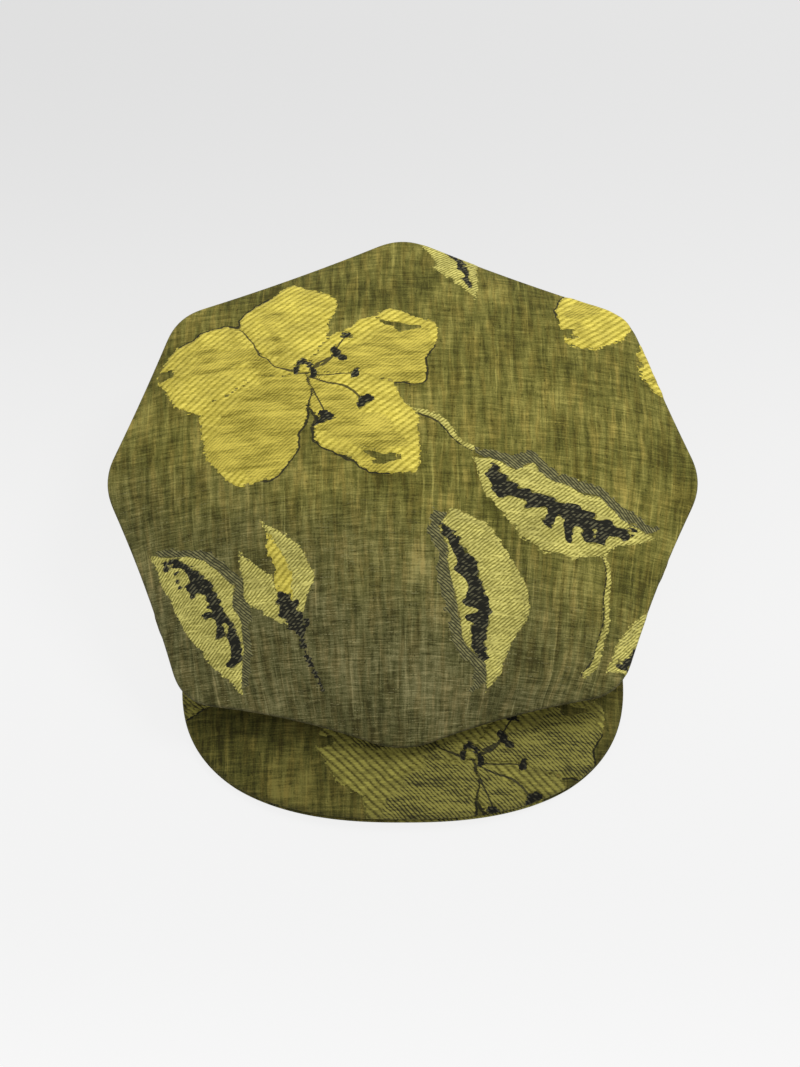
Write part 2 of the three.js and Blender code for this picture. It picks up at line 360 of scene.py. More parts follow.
@dataclass(frozen=True)
class Blossom(Motif):
    """An open flower of broad overlapping petals round dark stamens.

    Attributes:
        anchor: Its middle on the cloth.
        radius: Length of its petals.
        turn: Direction of its first petal, in degrees.
        petals: How many petals it has.
        seed: Picks the sizes of its petals and the lie of its stamens.
        cores: Half width of each petal's satin, as a share of its own, one after another round the flower.
        stamens: Direction of each stamen, in degrees from that of the first petal.
        outline: How far outside a petal its thin dark line lies.
    """

    anchor: tuple[float, float]
    radius: float = 62.0
    turn: float = 20.0
    petals: int = 5
    seed: int = 3
    cores: tuple[float, ...] = (0.28, 0.9, 0.5, 0.66, 0.12)
    stamens: tuple[float, ...] = (-88, -60, -26, 2, 30)
    outline: float = 0.5

    def petal(self, number: int) -> Blade:
        """The outline of one petal, each a little different from the next."""
        pick = np.random.default_rng(self.seed * 100 + number)
        return Blade(
            root=(0.0, 0.0),
            heading=self.turn + 360 / self.petals * number + pick.uniform(-8, 8),
            length=self.radius * pick.uniform(0.82, 1.18),
            half_width=self.radius * pick.uniform(0.29, 0.40),
            bend=pick.uniform(-0.14, 0.14),
            belly=pick.uniform(0.52, 0.68),
            root_power=0.75,
            tip_power=pick.uniform(0.5, 0.95),
            seed=self.seed * 10 + number,
            wave=1.3,
        )

    def paint(self, drawing: Drawing, at: np.ndarray) -> None:
        """Paint the petals one over another, then the eye and the stamens."""
        for number in [*range(0, self.petals, 2), *range(1, self.petals, 2)]:
            self.paint_petal(drawing, at, number)
        self.paint_eye(drawing, at)

    def paint_petal(self, drawing: Drawing, at: np.ndarray, number: int) -> None:
        """Paint one petal.

        It is ribbed at its rim and along one side and satin inside, with a thin dark line along the other
        side, partly the jacquard's dark outline and partly painted shade in the groove where that edge lies
        over what is below, and in every other petal a ragged nick near its tip where the ground shows.

        Args:
            drawing: The drawing that it goes on.
            at: The drawing's places, from the blossom's middle.
            number: Which petal, counted round the blossom.
        """
        blade = self.petal(number)
        inside, share, aside = blade.place(at)
        side = 1 if number % 2 else -1
        uneven = ripples(at[:, 0] * 0.6, at[:, 1] * 1.3, 11, blade.seed + 5)
        reach = self.cores[(number + self.seed) % len(self.cores)]
        core = reach * blade.half_width - np.abs(aside - side * 0.3 * blade.half_width) + 2.6 * uneven
        core = np.minimum(core, (0.7 + 0.26 * reach - share) * blade.length + 3.6 * uneven)
        drawing.paint(inside, {Weave.COARSE: inside, Weave.SATIN: core}, puff=1.0)
        # The thin dark line just outside the petal's edge is partly the jacquard's dark outline and partly
        # painted shade in the groove where the edge lies over what is below.
        near = 2 - np.abs(inside + self.outline)
        near = np.minimum(near, 1.5 + side * aside * 0.4)
        near = np.minimum(near, 1 + (0.9 - share) * blade.length * 0.3)
        drawing.draw_line(inside + self.outline, near)
        if number % 2 == 0:
            root = headed(blade.heading)[0] * blade.length * 0.86
            nick = Blade(tuple(root), 176 + 14 * side, 20, 2.6, 0.1, 0.4, 0.9, 1.1, blade.seed + 9)
            torn = nick.place(at)[0] + ripples(at[:, 0] * 0.5, at[:, 1] * 2.2, 6, blade.seed + 8)
            drawing.paint(np.minimum(torn, inside - 0.8), {})

    def paint_eye(self, drawing: Drawing, at: np.ndarray) -> None:
        """Paint a dark arch at the middle, and stamens that end in dark anthers.

        Args:
            drawing: The drawing that they go on.
            at: The drawing's places, from the blossom's middle.
        """
        pick = np.random.default_rng(self.seed + 50)
        reach = np.hypot(at[:, 0], at[:, 1] - 1)
        arch = np.minimum(1.1 - np.abs(reach - 4.6), at[:, 1] + 1.2 + 0.3 * at[:, 0])
        drawing.paint(arch, {Weave.DARK: arch})
        for heading in self.turn + np.array(self.stamens) + pick.uniform(-9, 9, len(self.stamens)):
            along, left = headed(heading)
            length, bow = pick.uniform(17, 34), pick.uniform(-6, 6)
            middle, end = along * length * 0.5 + left * bow, along * length
            stamen, beside = Thread((tuple(along * 4), tuple(middle), tuple(end)), 2.0, 2.0).place(at)
            drawing.draw_line(beside, stamen)
            lie = heading + 80 + pick.uniform(-25, 25)
            anther = Blade(tuple(end - left * 4), lie, 8.5, 2.0, 0.12, 0.5, 0.5, 0.5, int(heading) % 50, 1.6)
            blob = anther.place(at)[0] + 0.4 * ripples(*at.T, 4, 77)
            drawing.paint(blob, {Weave.DARK: blob})


@dataclass(frozen=True)
class Leaf(Motif):
    """A pointed leaf with a ragged dark rib, and a shadow that falls to one side of it.

    Attributes:
        anchor: Its root on the cloth.
        blade: Its outline, from that root.
        rib, rib_aside: Half width of its dark rib and how far that lies to the left, as shares of its own
            half width.
        shadow: Which side its shadow falls on, 1 for left and -1 for right, or 0 for none.
        coarse: Which side is ribbed coarsely, 1 for left and -1 for right, or 0 for neither.
    """

    anchor: tuple[float, float]
    blade: Blade
    rib: float = 0.3
    rib_aside: float = 0.0
    shadow: int = 1
    coarse: int = 0

    def paint(self, drawing: Drawing, at: np.ndarray) -> None:
        """Paint the shadow, then the leaf with its rib, whose edges are torn along the weft."""
        width = self.blade.half_width
        left = headed(self.blade.heading)[1]
        if self.shadow:
            cast = self.blade.place(at - left * self.shadow * 0.34 * width)[0]
            cast = cast + 0.7 * ripples(*at.T, 5, self.blade.seed + 3)
            drawing.paint(cast, {Weave.SHADE: cast})
        inside, share, aside = self.blade.place(at)
        uneven = ripples(*at.T, 10, self.blade.seed + 7)
        torn = ripples(at[:, 0] * 0.34, at[:, 1], 3.2, self.blade.seed + 11)
        middle = self.rib_aside * width
        rib = self.rib * width * np.sin(math.pi * share.clip(0, 1)) ** 0.8
        dark = rib * (1 + 0.3 * uneven) - np.abs(aside - middle + 0.1 * width * uneven) + torn
        dark = np.minimum(dark, np.minimum(share - 0.1, 0.86 - share) * self.blade.length)
        weaves = {Weave.FINE: inside}
        if self.coarse:
            near_edge = np.minimum(3.2 - inside + 1.4 * uneven, self.coarse * aside)
            weaves[Weave.COARSE] = np.minimum(near_edge, -dark - 1)
        drawing.paint(inside, weaves, puff=0.6)
        drawing.paint(np.minimum(dark, inside), {Weave.DARK: dark})


@dataclass(frozen=True)
class Bud(Motif):
    """A closed bud in its dark cup, on a short stalk.

    Attributes:
        anchor: Where the bud leaves its cup.
        heading: Direction that it points in, in degrees.
        length: Length of the bud.
        seed: Picks the unevenness of its edge.
    """

    anchor: tuple[float, float]
    heading: float
    length: float = 44.0
    seed: int = 4

    def paint(self, drawing: Drawing, at: np.ndarray) -> None:
        """Paint the stalk, two wrapped petals and the cup."""
        ahead, left = headed(self.heading)
        back, seed = -ahead, self.seed
        stalk = Thread((tuple(back * 3), tuple(back * 16 + left * 6), tuple(back * 34 + left * 3)), 1.2, 0.8)
        line = stalk.place(at)[0]
        drawing.paint(line, {Weave.DARK: line})
        rear = Blade((0, 0), self.heading + 14, self.length * 0.86, 8.0, 0.12, 0.45, 0.7, 0.9, seed, 0.9)
        rear_depth = rear.place(at)[0]
        drawing.paint(rear_depth, {Weave.FINE: rear_depth}, puff=0.6)
        front = Blade((0, 0), self.heading - 5, self.length, 8.4, -0.13, 0.4, 0.7, 1.1, seed + 1, 0.9)
        front_depth, share, aside = front.place(at)
        drawing.paint(front_depth, {Weave.COARSE: front_depth, Weave.FINE: 1.5 - aside}, puff=1.0)
        cup = Blade(tuple(back * 6), self.heading + 4, 22, 6.0, 0, 0.36, 0.6, 1.0, seed + 2, 1.6)
        cup_depth = cup.place(at)[0] + 1.1 * ripples(*at.T, 5, seed)
        drawing.paint(cup_depth, {Weave.DARK: cup_depth})


@dataclass(frozen=True)
class Stem(Motif):
    """A long thin stem, light with a dark edge.

    Attributes:
        anchor: One end of it on the cloth.
        points: Three control points of its curve, from that end.
        edge: How far to its left its dark edge runs.
    """

    anchor: tuple[float, float]
    points: tuple[tuple[float, float], tuple[float, float], tuple[float, float]]
    edge: float = 1.6

    def paint(self, drawing: Drawing, at: np.ndarray) -> None:
        """Paint the dark edge, then the light stem beside it."""
        light, side = Thread(self.points, 1.5, 1.1).place(at)
        beside = side - self.edge
        drawing.draw_line(beside, 2 - np.abs(beside) + np.minimum(light + 3, 0))
        drawing.paint(light, {Weave.FINE: light})


@dataclass(frozen=True)
class JacquardDesign:
    """The woven design: open flowers, leaves, buds and stems over a plain ground, in a repeat. Millimetres.

    Attributes:
        repeat: Width and length of one repeat.
        reach: How far from its anchor a motif may go, along the weft or the warp.
        sway: How far the loom's drawing strays from its lines.
        swell, pucker: How far the thickly woven petals stand out of the ground, and how uneven that is.
        motifs: What is drawn in a repeat, each over the ones before it.
    """

    repeat: tuple[float, float] = (344.0, 352.0)
    reach: float = 125.0
    sway: float = 1.3
    swell: float = 0.4
    pucker: float = 0.28
    motifs: tuple[Motif, ...] = (
        Stem((34, 0), ((0, 0), (-20, 14), (-44, 34))),
        Stem((96, -104), ((0, 0), (16, 44), (-12, 92))),
        Leaf((32, -6), Blade((0, 0), -16, 98, 17, -0.13, 0.46, 0.9, 1.2, 11, 1.2), 0.29, 0.05, 1),
        Leaf((20, -30), Blade((0, 0), -74, 90, 18, 0.12, 0.5, 0.9, 1.15, 12, 1.2), 0.26, -0.4, -1, 1),
        Leaf((2, 150), Blade((0, 0), -62, 70, 12, 0.12, 0.45, 0.9, 1.1, 13, 1.2), 0.24, 0, 0, 1),
        Blossom((-46, 42), 68, 24, 5, 3),
        Leaf((-126, -40), Blade((0, 0), -62, 84, 15, 0.14, 0.5, 0.9, 1.1, 14, 1.2), 0.3, 0.2, 1),
        Bud((-52, -82), 112, 50, 6),
        Blossom((126, 98), 60, 62, 5, 8),
        Blossom((146, -156), 62, 8, 5, 5),
        Leaf((104, -100), Blade((0, 0), 44, 70, 14, -0.1, 0.5, 0.9, 1.1, 15, 1.2), 0.26, 0, 0, 1),
    )

    def draw(self, cloth: np.ndarray) -> Drawing:
        """Draw the design at places of the cloth.

        Args:
            cloth: Places on the flat cloth, in metres, with any number of axes before the last.

        Returns:
            The drawing, for the places in one row, with its relief turned to metres.
        """
        places = cloth.reshape(-1, 2) / MM
        x, y = places.T
        strayed = places + self.sway * np.stack([ripples(x, y, 26, 71), ripples(x, y, 26, 72)], -1)
        drawing = Drawing.ground(len(places))
        repeat = np.array(self.repeat)
        for motif in self.motifs:
            at = strayed - np.array(motif.anchor)
            at = at - repeat * np.round(at / repeat)
            near = np.abs(at).max(1) < self.reach
            part = drawing.part(near)
            motif.paint(part, at[near])
            drawing.replace(near, part)
        x, y = strayed.T
        figured = smooth_step(np.maximum(drawing.depth[Weave.COARSE], drawing.depth[Weave.SATIN]), 0, 5)
        drawing.rise += self.pucker * figured * ripples(x / 2.6, y, 7.0, 90)
        drawing.rise *= self.swell * MM
        return drawing


# Meshes


@dataclass
class Skin:
    """The points and faces of one piece of cloth before they become a mesh.

    Attributes:
        points: Places in the row frame, in metres.
        cloth: Places on the piece's flat cloth, in metres.
        drawing: What is woven there, for the same points.
        wrong_side: 1 for the points on the cloth's wrong side and 0 for the others.
        from_edge: Millimetres from each point to the nearest sewn edge.
        faces: Arrays of corner numbers, one row for each face, and one array for each number of corners.
        welded: How many of the last points are the first points again, with their cloth one turn on.
    """

    points: np.ndarray
    cloth: np.ndarray
    drawing: Drawing
    wrong_side: np.ndarray
    from_edge: np.ndarray
    faces: list[np.ndarray] = field(default_factory=list)
    welded: int = 0

    def cut(self) -> tuple[float, float, float]:
        """The size of the cloth on the flat.

        Returns:
            Its width and length, and its area: half the sum of the areas of both sides' faces on the cloth
            map, each half the sum of x · y' - x' · y over its edges.
        """
        area = 0.0
        for block in self.faces:
            x, y = self.cloth[block].transpose(2, 0, 1)
            area += np.abs((x * np.roll(y, -1, 1) - np.roll(x, -1, 1) * y).sum(1) / 2).sum()
        width, length = np.ptp(self.cloth, axis=0)
        return float(width), float(length), float(area / 2)

    def make(self, name: str, sharp: float = 48.0) -> bpy.types.Object:
        """Make the piece's object.

        Args:
            name: Name of the object.
            sharp: Degrees between two faces from which the edge between them stays sharp.

        Returns:
            The object, at the origin, with its cloth map and one attribute for each weave.
        """
        corners = np.concatenate([block.ravel() for block in self.faces])
        sizes = np.concatenate([np.full(len(block), block.shape[1]) for block in self.faces])
        count = len(self.points) - self.welded
        mesh = bpy.data.meshes.new(name)
        mesh.vertices.add(count)
        mesh.vertices.foreach_set("co", self.points[:count].astype(np.float32).ravel())
        mesh.loops.add(len(corners))
        mesh.loops.foreach_set("vertex_index", (corners % count).astype(np.int32))
        mesh.polygons.add(len(sizes))
        mesh.polygons.foreach_set("loop_start", (np.cumsum(sizes) - sizes).astype(np.int32))
        mesh.update(calc_edges=True)
        mesh.polygons.foreach_set("use_smooth", np.ones(len(mesh.polygons), bool))
        mesh.set_sharp_from_angle(angle=math.radians(sharp))
        layer = mesh.uv_layers.new(name=CLOTH_MAP)
        layer.uv.foreach_set("vector", self.cloth[corners].astype(np.float32).ravel())
        woven, behind = self.drawing, self.wrong_side > 0.5
        shown = {"from_edge": self.from_edge}
        for weave in Weave:
            reverse = [woven.depth[front] for front in IN_FRONT_OF[weave]]
            shown[weave.value] = np.where(behind, np.max(reverse, axis=0, initial=-FAR), woven.depth[weave])
        shown["line_side"] = np.where(behind, -FAR, woven.line_side)
        shown["line_near"] = np.where(behind, -FAR, woven.line_near)
        for label, values in shown.items():
            kept = np.clip(values[:count], -KEPT_DEPTH, KEPT_DEPTH)
            mesh.attributes.new(label, "FLOAT", "POINT").data.foreach_set("value", kept.astype(np.float32))
        if mesh.validate():
            LOG.warning("%s had faces that Blender mended", name)
        return linked(name, mesh)


def linked(name: str, data: bpy.types.ID) -> bpy.types.Object:
    """An object that shows some data, in the scene."""
    made = bpy.data.objects.new(name, data)
    bpy.context.scene.collection.objects.link(made)
    return made


def grid_faces(first: int, rows: int, columns: int, loop: bool = False) -> np.ndarray:
    """The four-cornered faces of a grid of points that are numbered row by row.

    Args:
        first: Number of the grid's first point.
        rows: Rows of points.
        columns: Points in a row.
        loop: Whether the last column joins the first.

    Returns:
        One row of four point numbers for each face, turning from a row to the next, then along it.
    """
    row = np.arange(rows - 1)[:, None] * columns
    column = np.arange(columns if loop else columns - 1)[None, :]
    below, after = row + columns, (column + 1) % columns
    corners = [row + column, below + column, below + after, row + after]
    return first + np.stack(corners, -1).reshape(-1, 4)


def strip_faces(one: np.ndarray, other: np.ndarray) -> np.ndarray:
    """The faces of a strip between two runs of point numbers of the same length."""
    return np.stack([one[:-1], one[1:], other[1:], other[:-1]], -1)


def grid_normals(middle: np.ndarray) -> np.ndarray:
    """The direction across a grid of points at each of them, down its rows crossed with along them."""
    down = np.gradient(middle, axis=0)
    along = np.gradient(middle, axis=1)
    return unit(np.cross(down, along))


def edge_numbers(number: np.ndarray) -> np.ndarray:
    """The point numbers round a grid, down its first column, along its last row, and back to the start."""
    around = np.concatenate([number[:-1, 0], number[-1, :-1], number[:0:-1, -1], number[0, :0:-1]])
    return np.append(around, around[0])


def run_lengths(middle: np.ndarray, axis: int) -> np.ndarray:
    """Length from the start of each row, or column, of a grid of points, in metres."""
    steps = np.linalg.norm(np.diff(middle, axis=axis), axis=-1)
    first = np.zeros_like(steps.take([0], axis))
    return np.concatenate([first, np.cumsum(steps, axis)], axis)


def two_sided(
    middle: np.ndarray,
    across: np.ndarray,
    thickness: float,
    cloth: np.ndarray,
    from_edge: np.ndarray,
    design: JacquardDesign,
    sparse: int = 1,
) -> Skin:
    """A cloth of even thickness about a grid of points.

    The right side is the middle plus the relief and half the thickness in the direction across, and the
    wrong side is the thickness below that. The faces that close the cut edges have more corners where the
    wrong side has fewer lines.

    Args:
        middle: Places of the cloth's middle, rows by columns.
        across: The direction to its right side at each.
        thickness: The cloth's thickness.
        cloth: Places on the flat cloth.
        from_edge: Millimetres to the nearest sewn edge.
        design: What is woven into it.
        sparse: One in so many of the grid's lines is kept on the wrong side.

    Returns:
        The closed skin.
    """
    number = np.arange(from_edge.size).reshape(from_edge.shape)
    few = np.s_[::sparse, ::sparse]
    kept, count = number[few], number.size
    drawing = design.draw(cloth)
    middle = middle + across * drawing.rise.reshape(*number.shape, 1)
    reach = across * thickness / 2
    inner = edge_numbers(count + np.arange(kept.size).reshape(kept.shape))
    outer, first = edge_numbers(number), np.arange(len(inner) - 1) * sparse
    closing = [inner[:-1], inner[1:], *(outer[first + step] for step in range(sparse, -1, -1))]
    return Skin(
        np.concatenate([(middle + reach).reshape(-1, 3), (middle - reach)[few].reshape(-1, 3)]),
        np.concatenate([cloth.reshape(-1, 2), cloth[few].reshape(-1, 2)]),
        drawing.joined(drawing.part(kept.ravel())),
        np.repeat([0.0, 1.0], [count, kept.size]),
        np.concatenate([from_edge.ravel(), from_edge[few].ravel()]),
        [grid_faces(0, *number.shape), grid_faces(count, *kept.shape)[:, ::-1], np.stack(closing, -1)],
    )


# Materials


class Value:
    """A number in a shader, which takes part in Python expressions."""

    def __init__(self, graph: Graph, socket: bpy.types.NodeSocket) -> None:
        """Wrap an output socket of the graph."""
        self.graph = graph
        self.socket = socket

    def __add__(self, other: Value | float) -> Value:
        """This plus other."""
        return self.graph.maths("ADD", self, other)

    __radd__ = __add__

    def __sub__(self, other: Value | float) -> Value:
        """This less other."""
        return self.graph.maths("SUBTRACT", self, other)

    def __rsub__(self, other: Value | float) -> Value:
        """Other less this."""
        return self.graph.maths("SUBTRACT", other, self)

    def __mul__(self, other: Value | float) -> Value:
        """This times other."""
        return self.graph.maths("MULTIPLY", self, other)

    __rmul__ = __mul__

    def __truediv__(self, other: Value | float) -> Value:
        """This over other."""
        return self.graph.maths("DIVIDE", self, other)

    def __pow__(self, other: Value | float) -> Value:
        """This to the power of other."""
        return self.graph.maths("POWER", self, other)

    def __abs__(self) -> Value:
        """This without its sign."""
        return self.graph.maths("ABSOLUTE", self)

    def floor(self) -> Value:
        """The whole number at or below this."""
        return self.graph.maths("FLOOR", self)

    def part(self) -> Value:
        """What is left of this above its whole number."""
        return self.graph.maths("FRACT", self)

    def most(self, other: Value | float) -> Value:
        """The larger of this and other."""
        return self.graph.maths("MAXIMUM", self, other)

    def ramp(self, start: float, end: float) -> Value:
        """An eased rise from 0 at start to 1 at end."""
        settings = {"interpolation_type": "SMOOTHSTEP"}
        inputs = {"Value": self, "From Min": start, "From Max": end, "To Min": 0.0, "To Max": 1.0}
        return Value(self.graph, self.graph.node("ShaderNodeMapRange", settings, inputs).outputs["Result"])


Colour = tuple[float, float, float]


class Graph:
    """The node tree of one material."""

    def __init__(self, name: str) -> None:
        """Make a material with an empty tree."""
        self.material = bpy.data.materials.new(name)
        self.material.use_nodes = True
        self.tree = self.material.node_tree
        self.tree.nodes.clear()

    def node(
        self,
        kind: str,
        settings: Mapping[str, object] | None = None,
        inputs: Mapping[str | int, object] | None = None,
    ) -> bpy.types.Node:
        """Add a node.

        Args:
            kind: Blender's name of the node's type.
            settings: Its properties, which are set first.
            inputs: Values or links for its sockets, by name or number.

        Returns:
            The new node.
        """
        made = self.tree.nodes.new(kind)
        for key, value in (settings or {}).items():
            setattr(made, key, value)
        for key, value in (inputs or {}).items():
            self.feed(made.inputs[key], value)
        return made

    def feed(self, socket: bpy.types.NodeSocket, value: object) -> None:
        """Link a value or a socket to an input, or set the input's own number, vector or colour.

        Args:
            socket: The input.
            value: A Value, an output socket, a number or a row of numbers.
        """
        if isinstance(value, Value):
            value = value.socket
        if isinstance(value, bpy.types.NodeSocket):
            self.tree.links.new(value, socket)
        elif socket.type == "RGBA" and len(value) == 3:
            socket.default_value = (*value, 1.0)
        else:
            socket.default_value = value

    def maths(self, operation: str, *terms: Value | float) -> Value:
        """Add a Math node and return its value."""
        made = self.node("ShaderNodeMath", {"operation": operation}, dict(enumerate(terms)))
        return Value(self, made.outputs[0])

    def vector(self, x: Value | float, y: Value | float, z: Value | float = 0.0) -> bpy.types.NodeSocket:
        """Join three numbers to a vector."""
        return self.node("ShaderNodeCombineXYZ", inputs={"X": x, "Y": y, "Z": z}).outputs[0]

    def speckle(self, x: Value, y: Value) -> Value:
        """A random number from 0 to 1 for each x and y."""
        inputs = {"Vector": self.vector(x, y)}
        made = self.node("ShaderNodeTexWhiteNoise", {"noise_dimensions": "2D"}, inputs)
        return Value(self, made.outputs["Value"])

    def attribute(self, name: str) -> Value:
        """An attribute of the mesh."""
        made = self.node("ShaderNodeAttribute", {"attribute_type": "GEOMETRY", "attribute_name": name})
        return Value(self, made.outputs["Fac"])

    def mix(self, share: Value, low: object, high: object) -> bpy.types.NodeSocket:
        """Mix two colours.

        Args:
            share: 0 or less for all of low, and 1 or more for all of high.
            low: A colour or a colour socket.
            high: A colour or a colour socket.

        Returns:
            The mixed colour's socket.
        """
        made = self.node("ShaderNodeMix", {"data_type": "RGBA"})
        self.feed(made.inputs[0], share)
        self.feed(made.inputs[6], low)
        self.feed(made.inputs[7], high)
        return made.outputs[2]

    def scaled(self, colour: bpy.types.NodeSocket, by: Value) -> bpy.types.NodeSocket:
        """A colour with each of its channels times a number."""
        made = self.node("ShaderNodeVectorMath", {"operation": "SCALE"}, {0: colour, "Scale": by})
        return made.outputs[0]

    def tinted(self, colour: bpy.types.NodeSocket, by: Colour) -> bpy.types.NodeSocket:
        """A colour with each of its channels times its own number."""
        made = self.node("ShaderNodeVectorMath", {"operation": "MULTIPLY"}, {0: colour, 1: by})
        return made.outputs[0]

    def finish(self, shader: bpy.types.Node) -> bpy.types.Material:
        """Send a shader to the material's surface and return the material."""
        self.node("ShaderNodeOutputMaterial", inputs={"Surface": shader.outputs[0]})
        return self.material


@dataclass(frozen=True)
class Spot:
    """A place on the cloth in a material: millimetres along the weft and along the warp."""

    graph: Graph
    x: Value
    y: Value


@dataclass(frozen=True)
class Yarns:
    """Smooth unevenness of unequal yarns, whose waves are longer one way than the other. Millimetres.

    Attributes:
        across, along: Length of a wave along the weft and along the warp.
        seed: Shifts the pattern.
        strength: How far it moves what it is added to, from its least to its most.
        detail, roughness: How many finer layers it has, and how strong they are.
        low, high: Where yarns that lie only here and there start to show, and where they show wholly.
    """

    across: float
    along: float
    seed: float
    strength: float = 1.0
    detail: float = 1.0
    roughness: float = 0.5
    low: float = 0.0
    high: float = 1.0

    def noise(self, at: Spot) -> Value:
        """The unevenness at a place, from 0 to 1 and 0.5 on average."""
        place = at.graph.vector(at.x / self.across + self.seed, at.y / self.along - self.seed)
        inputs = {"Vector": place, "Scale": 1.0, "Detail": self.detail, "Roughness": self.roughness}
        made = at.graph.node("ShaderNodeTexNoise", {"noise_dimensions": "2D"}, inputs)
        return Value(at.graph, made.outputs[0])

    def swing(self, at: Spot) -> Value:
        """The unevenness about nought, times its strength."""
        return self.strength * (self.noise(at) - 0.5)

    def here(self, at: Spot) -> Value:
        """The strength where its yarns show, and 0 where they don't."""
        return self.strength * self.noise(at).ramp(self.low, self.high)


@dataclass(frozen=True)
class Steps:
    """Random steps, one for each cell of a grid on the cloth. Millimetres.

    Attributes:
        width, height: Of a cell.
        strength: From the lowest step to the highest.
    """

    width: float
    height: float
    strength: float

    def swing(self, at: Spot) -> Value:
        """The step about nought at a place."""
        cell = at.graph.speckle((at.x / self.width).floor(), (at.y / self.height).floor())
        return self.strength * (cell - 0.5)


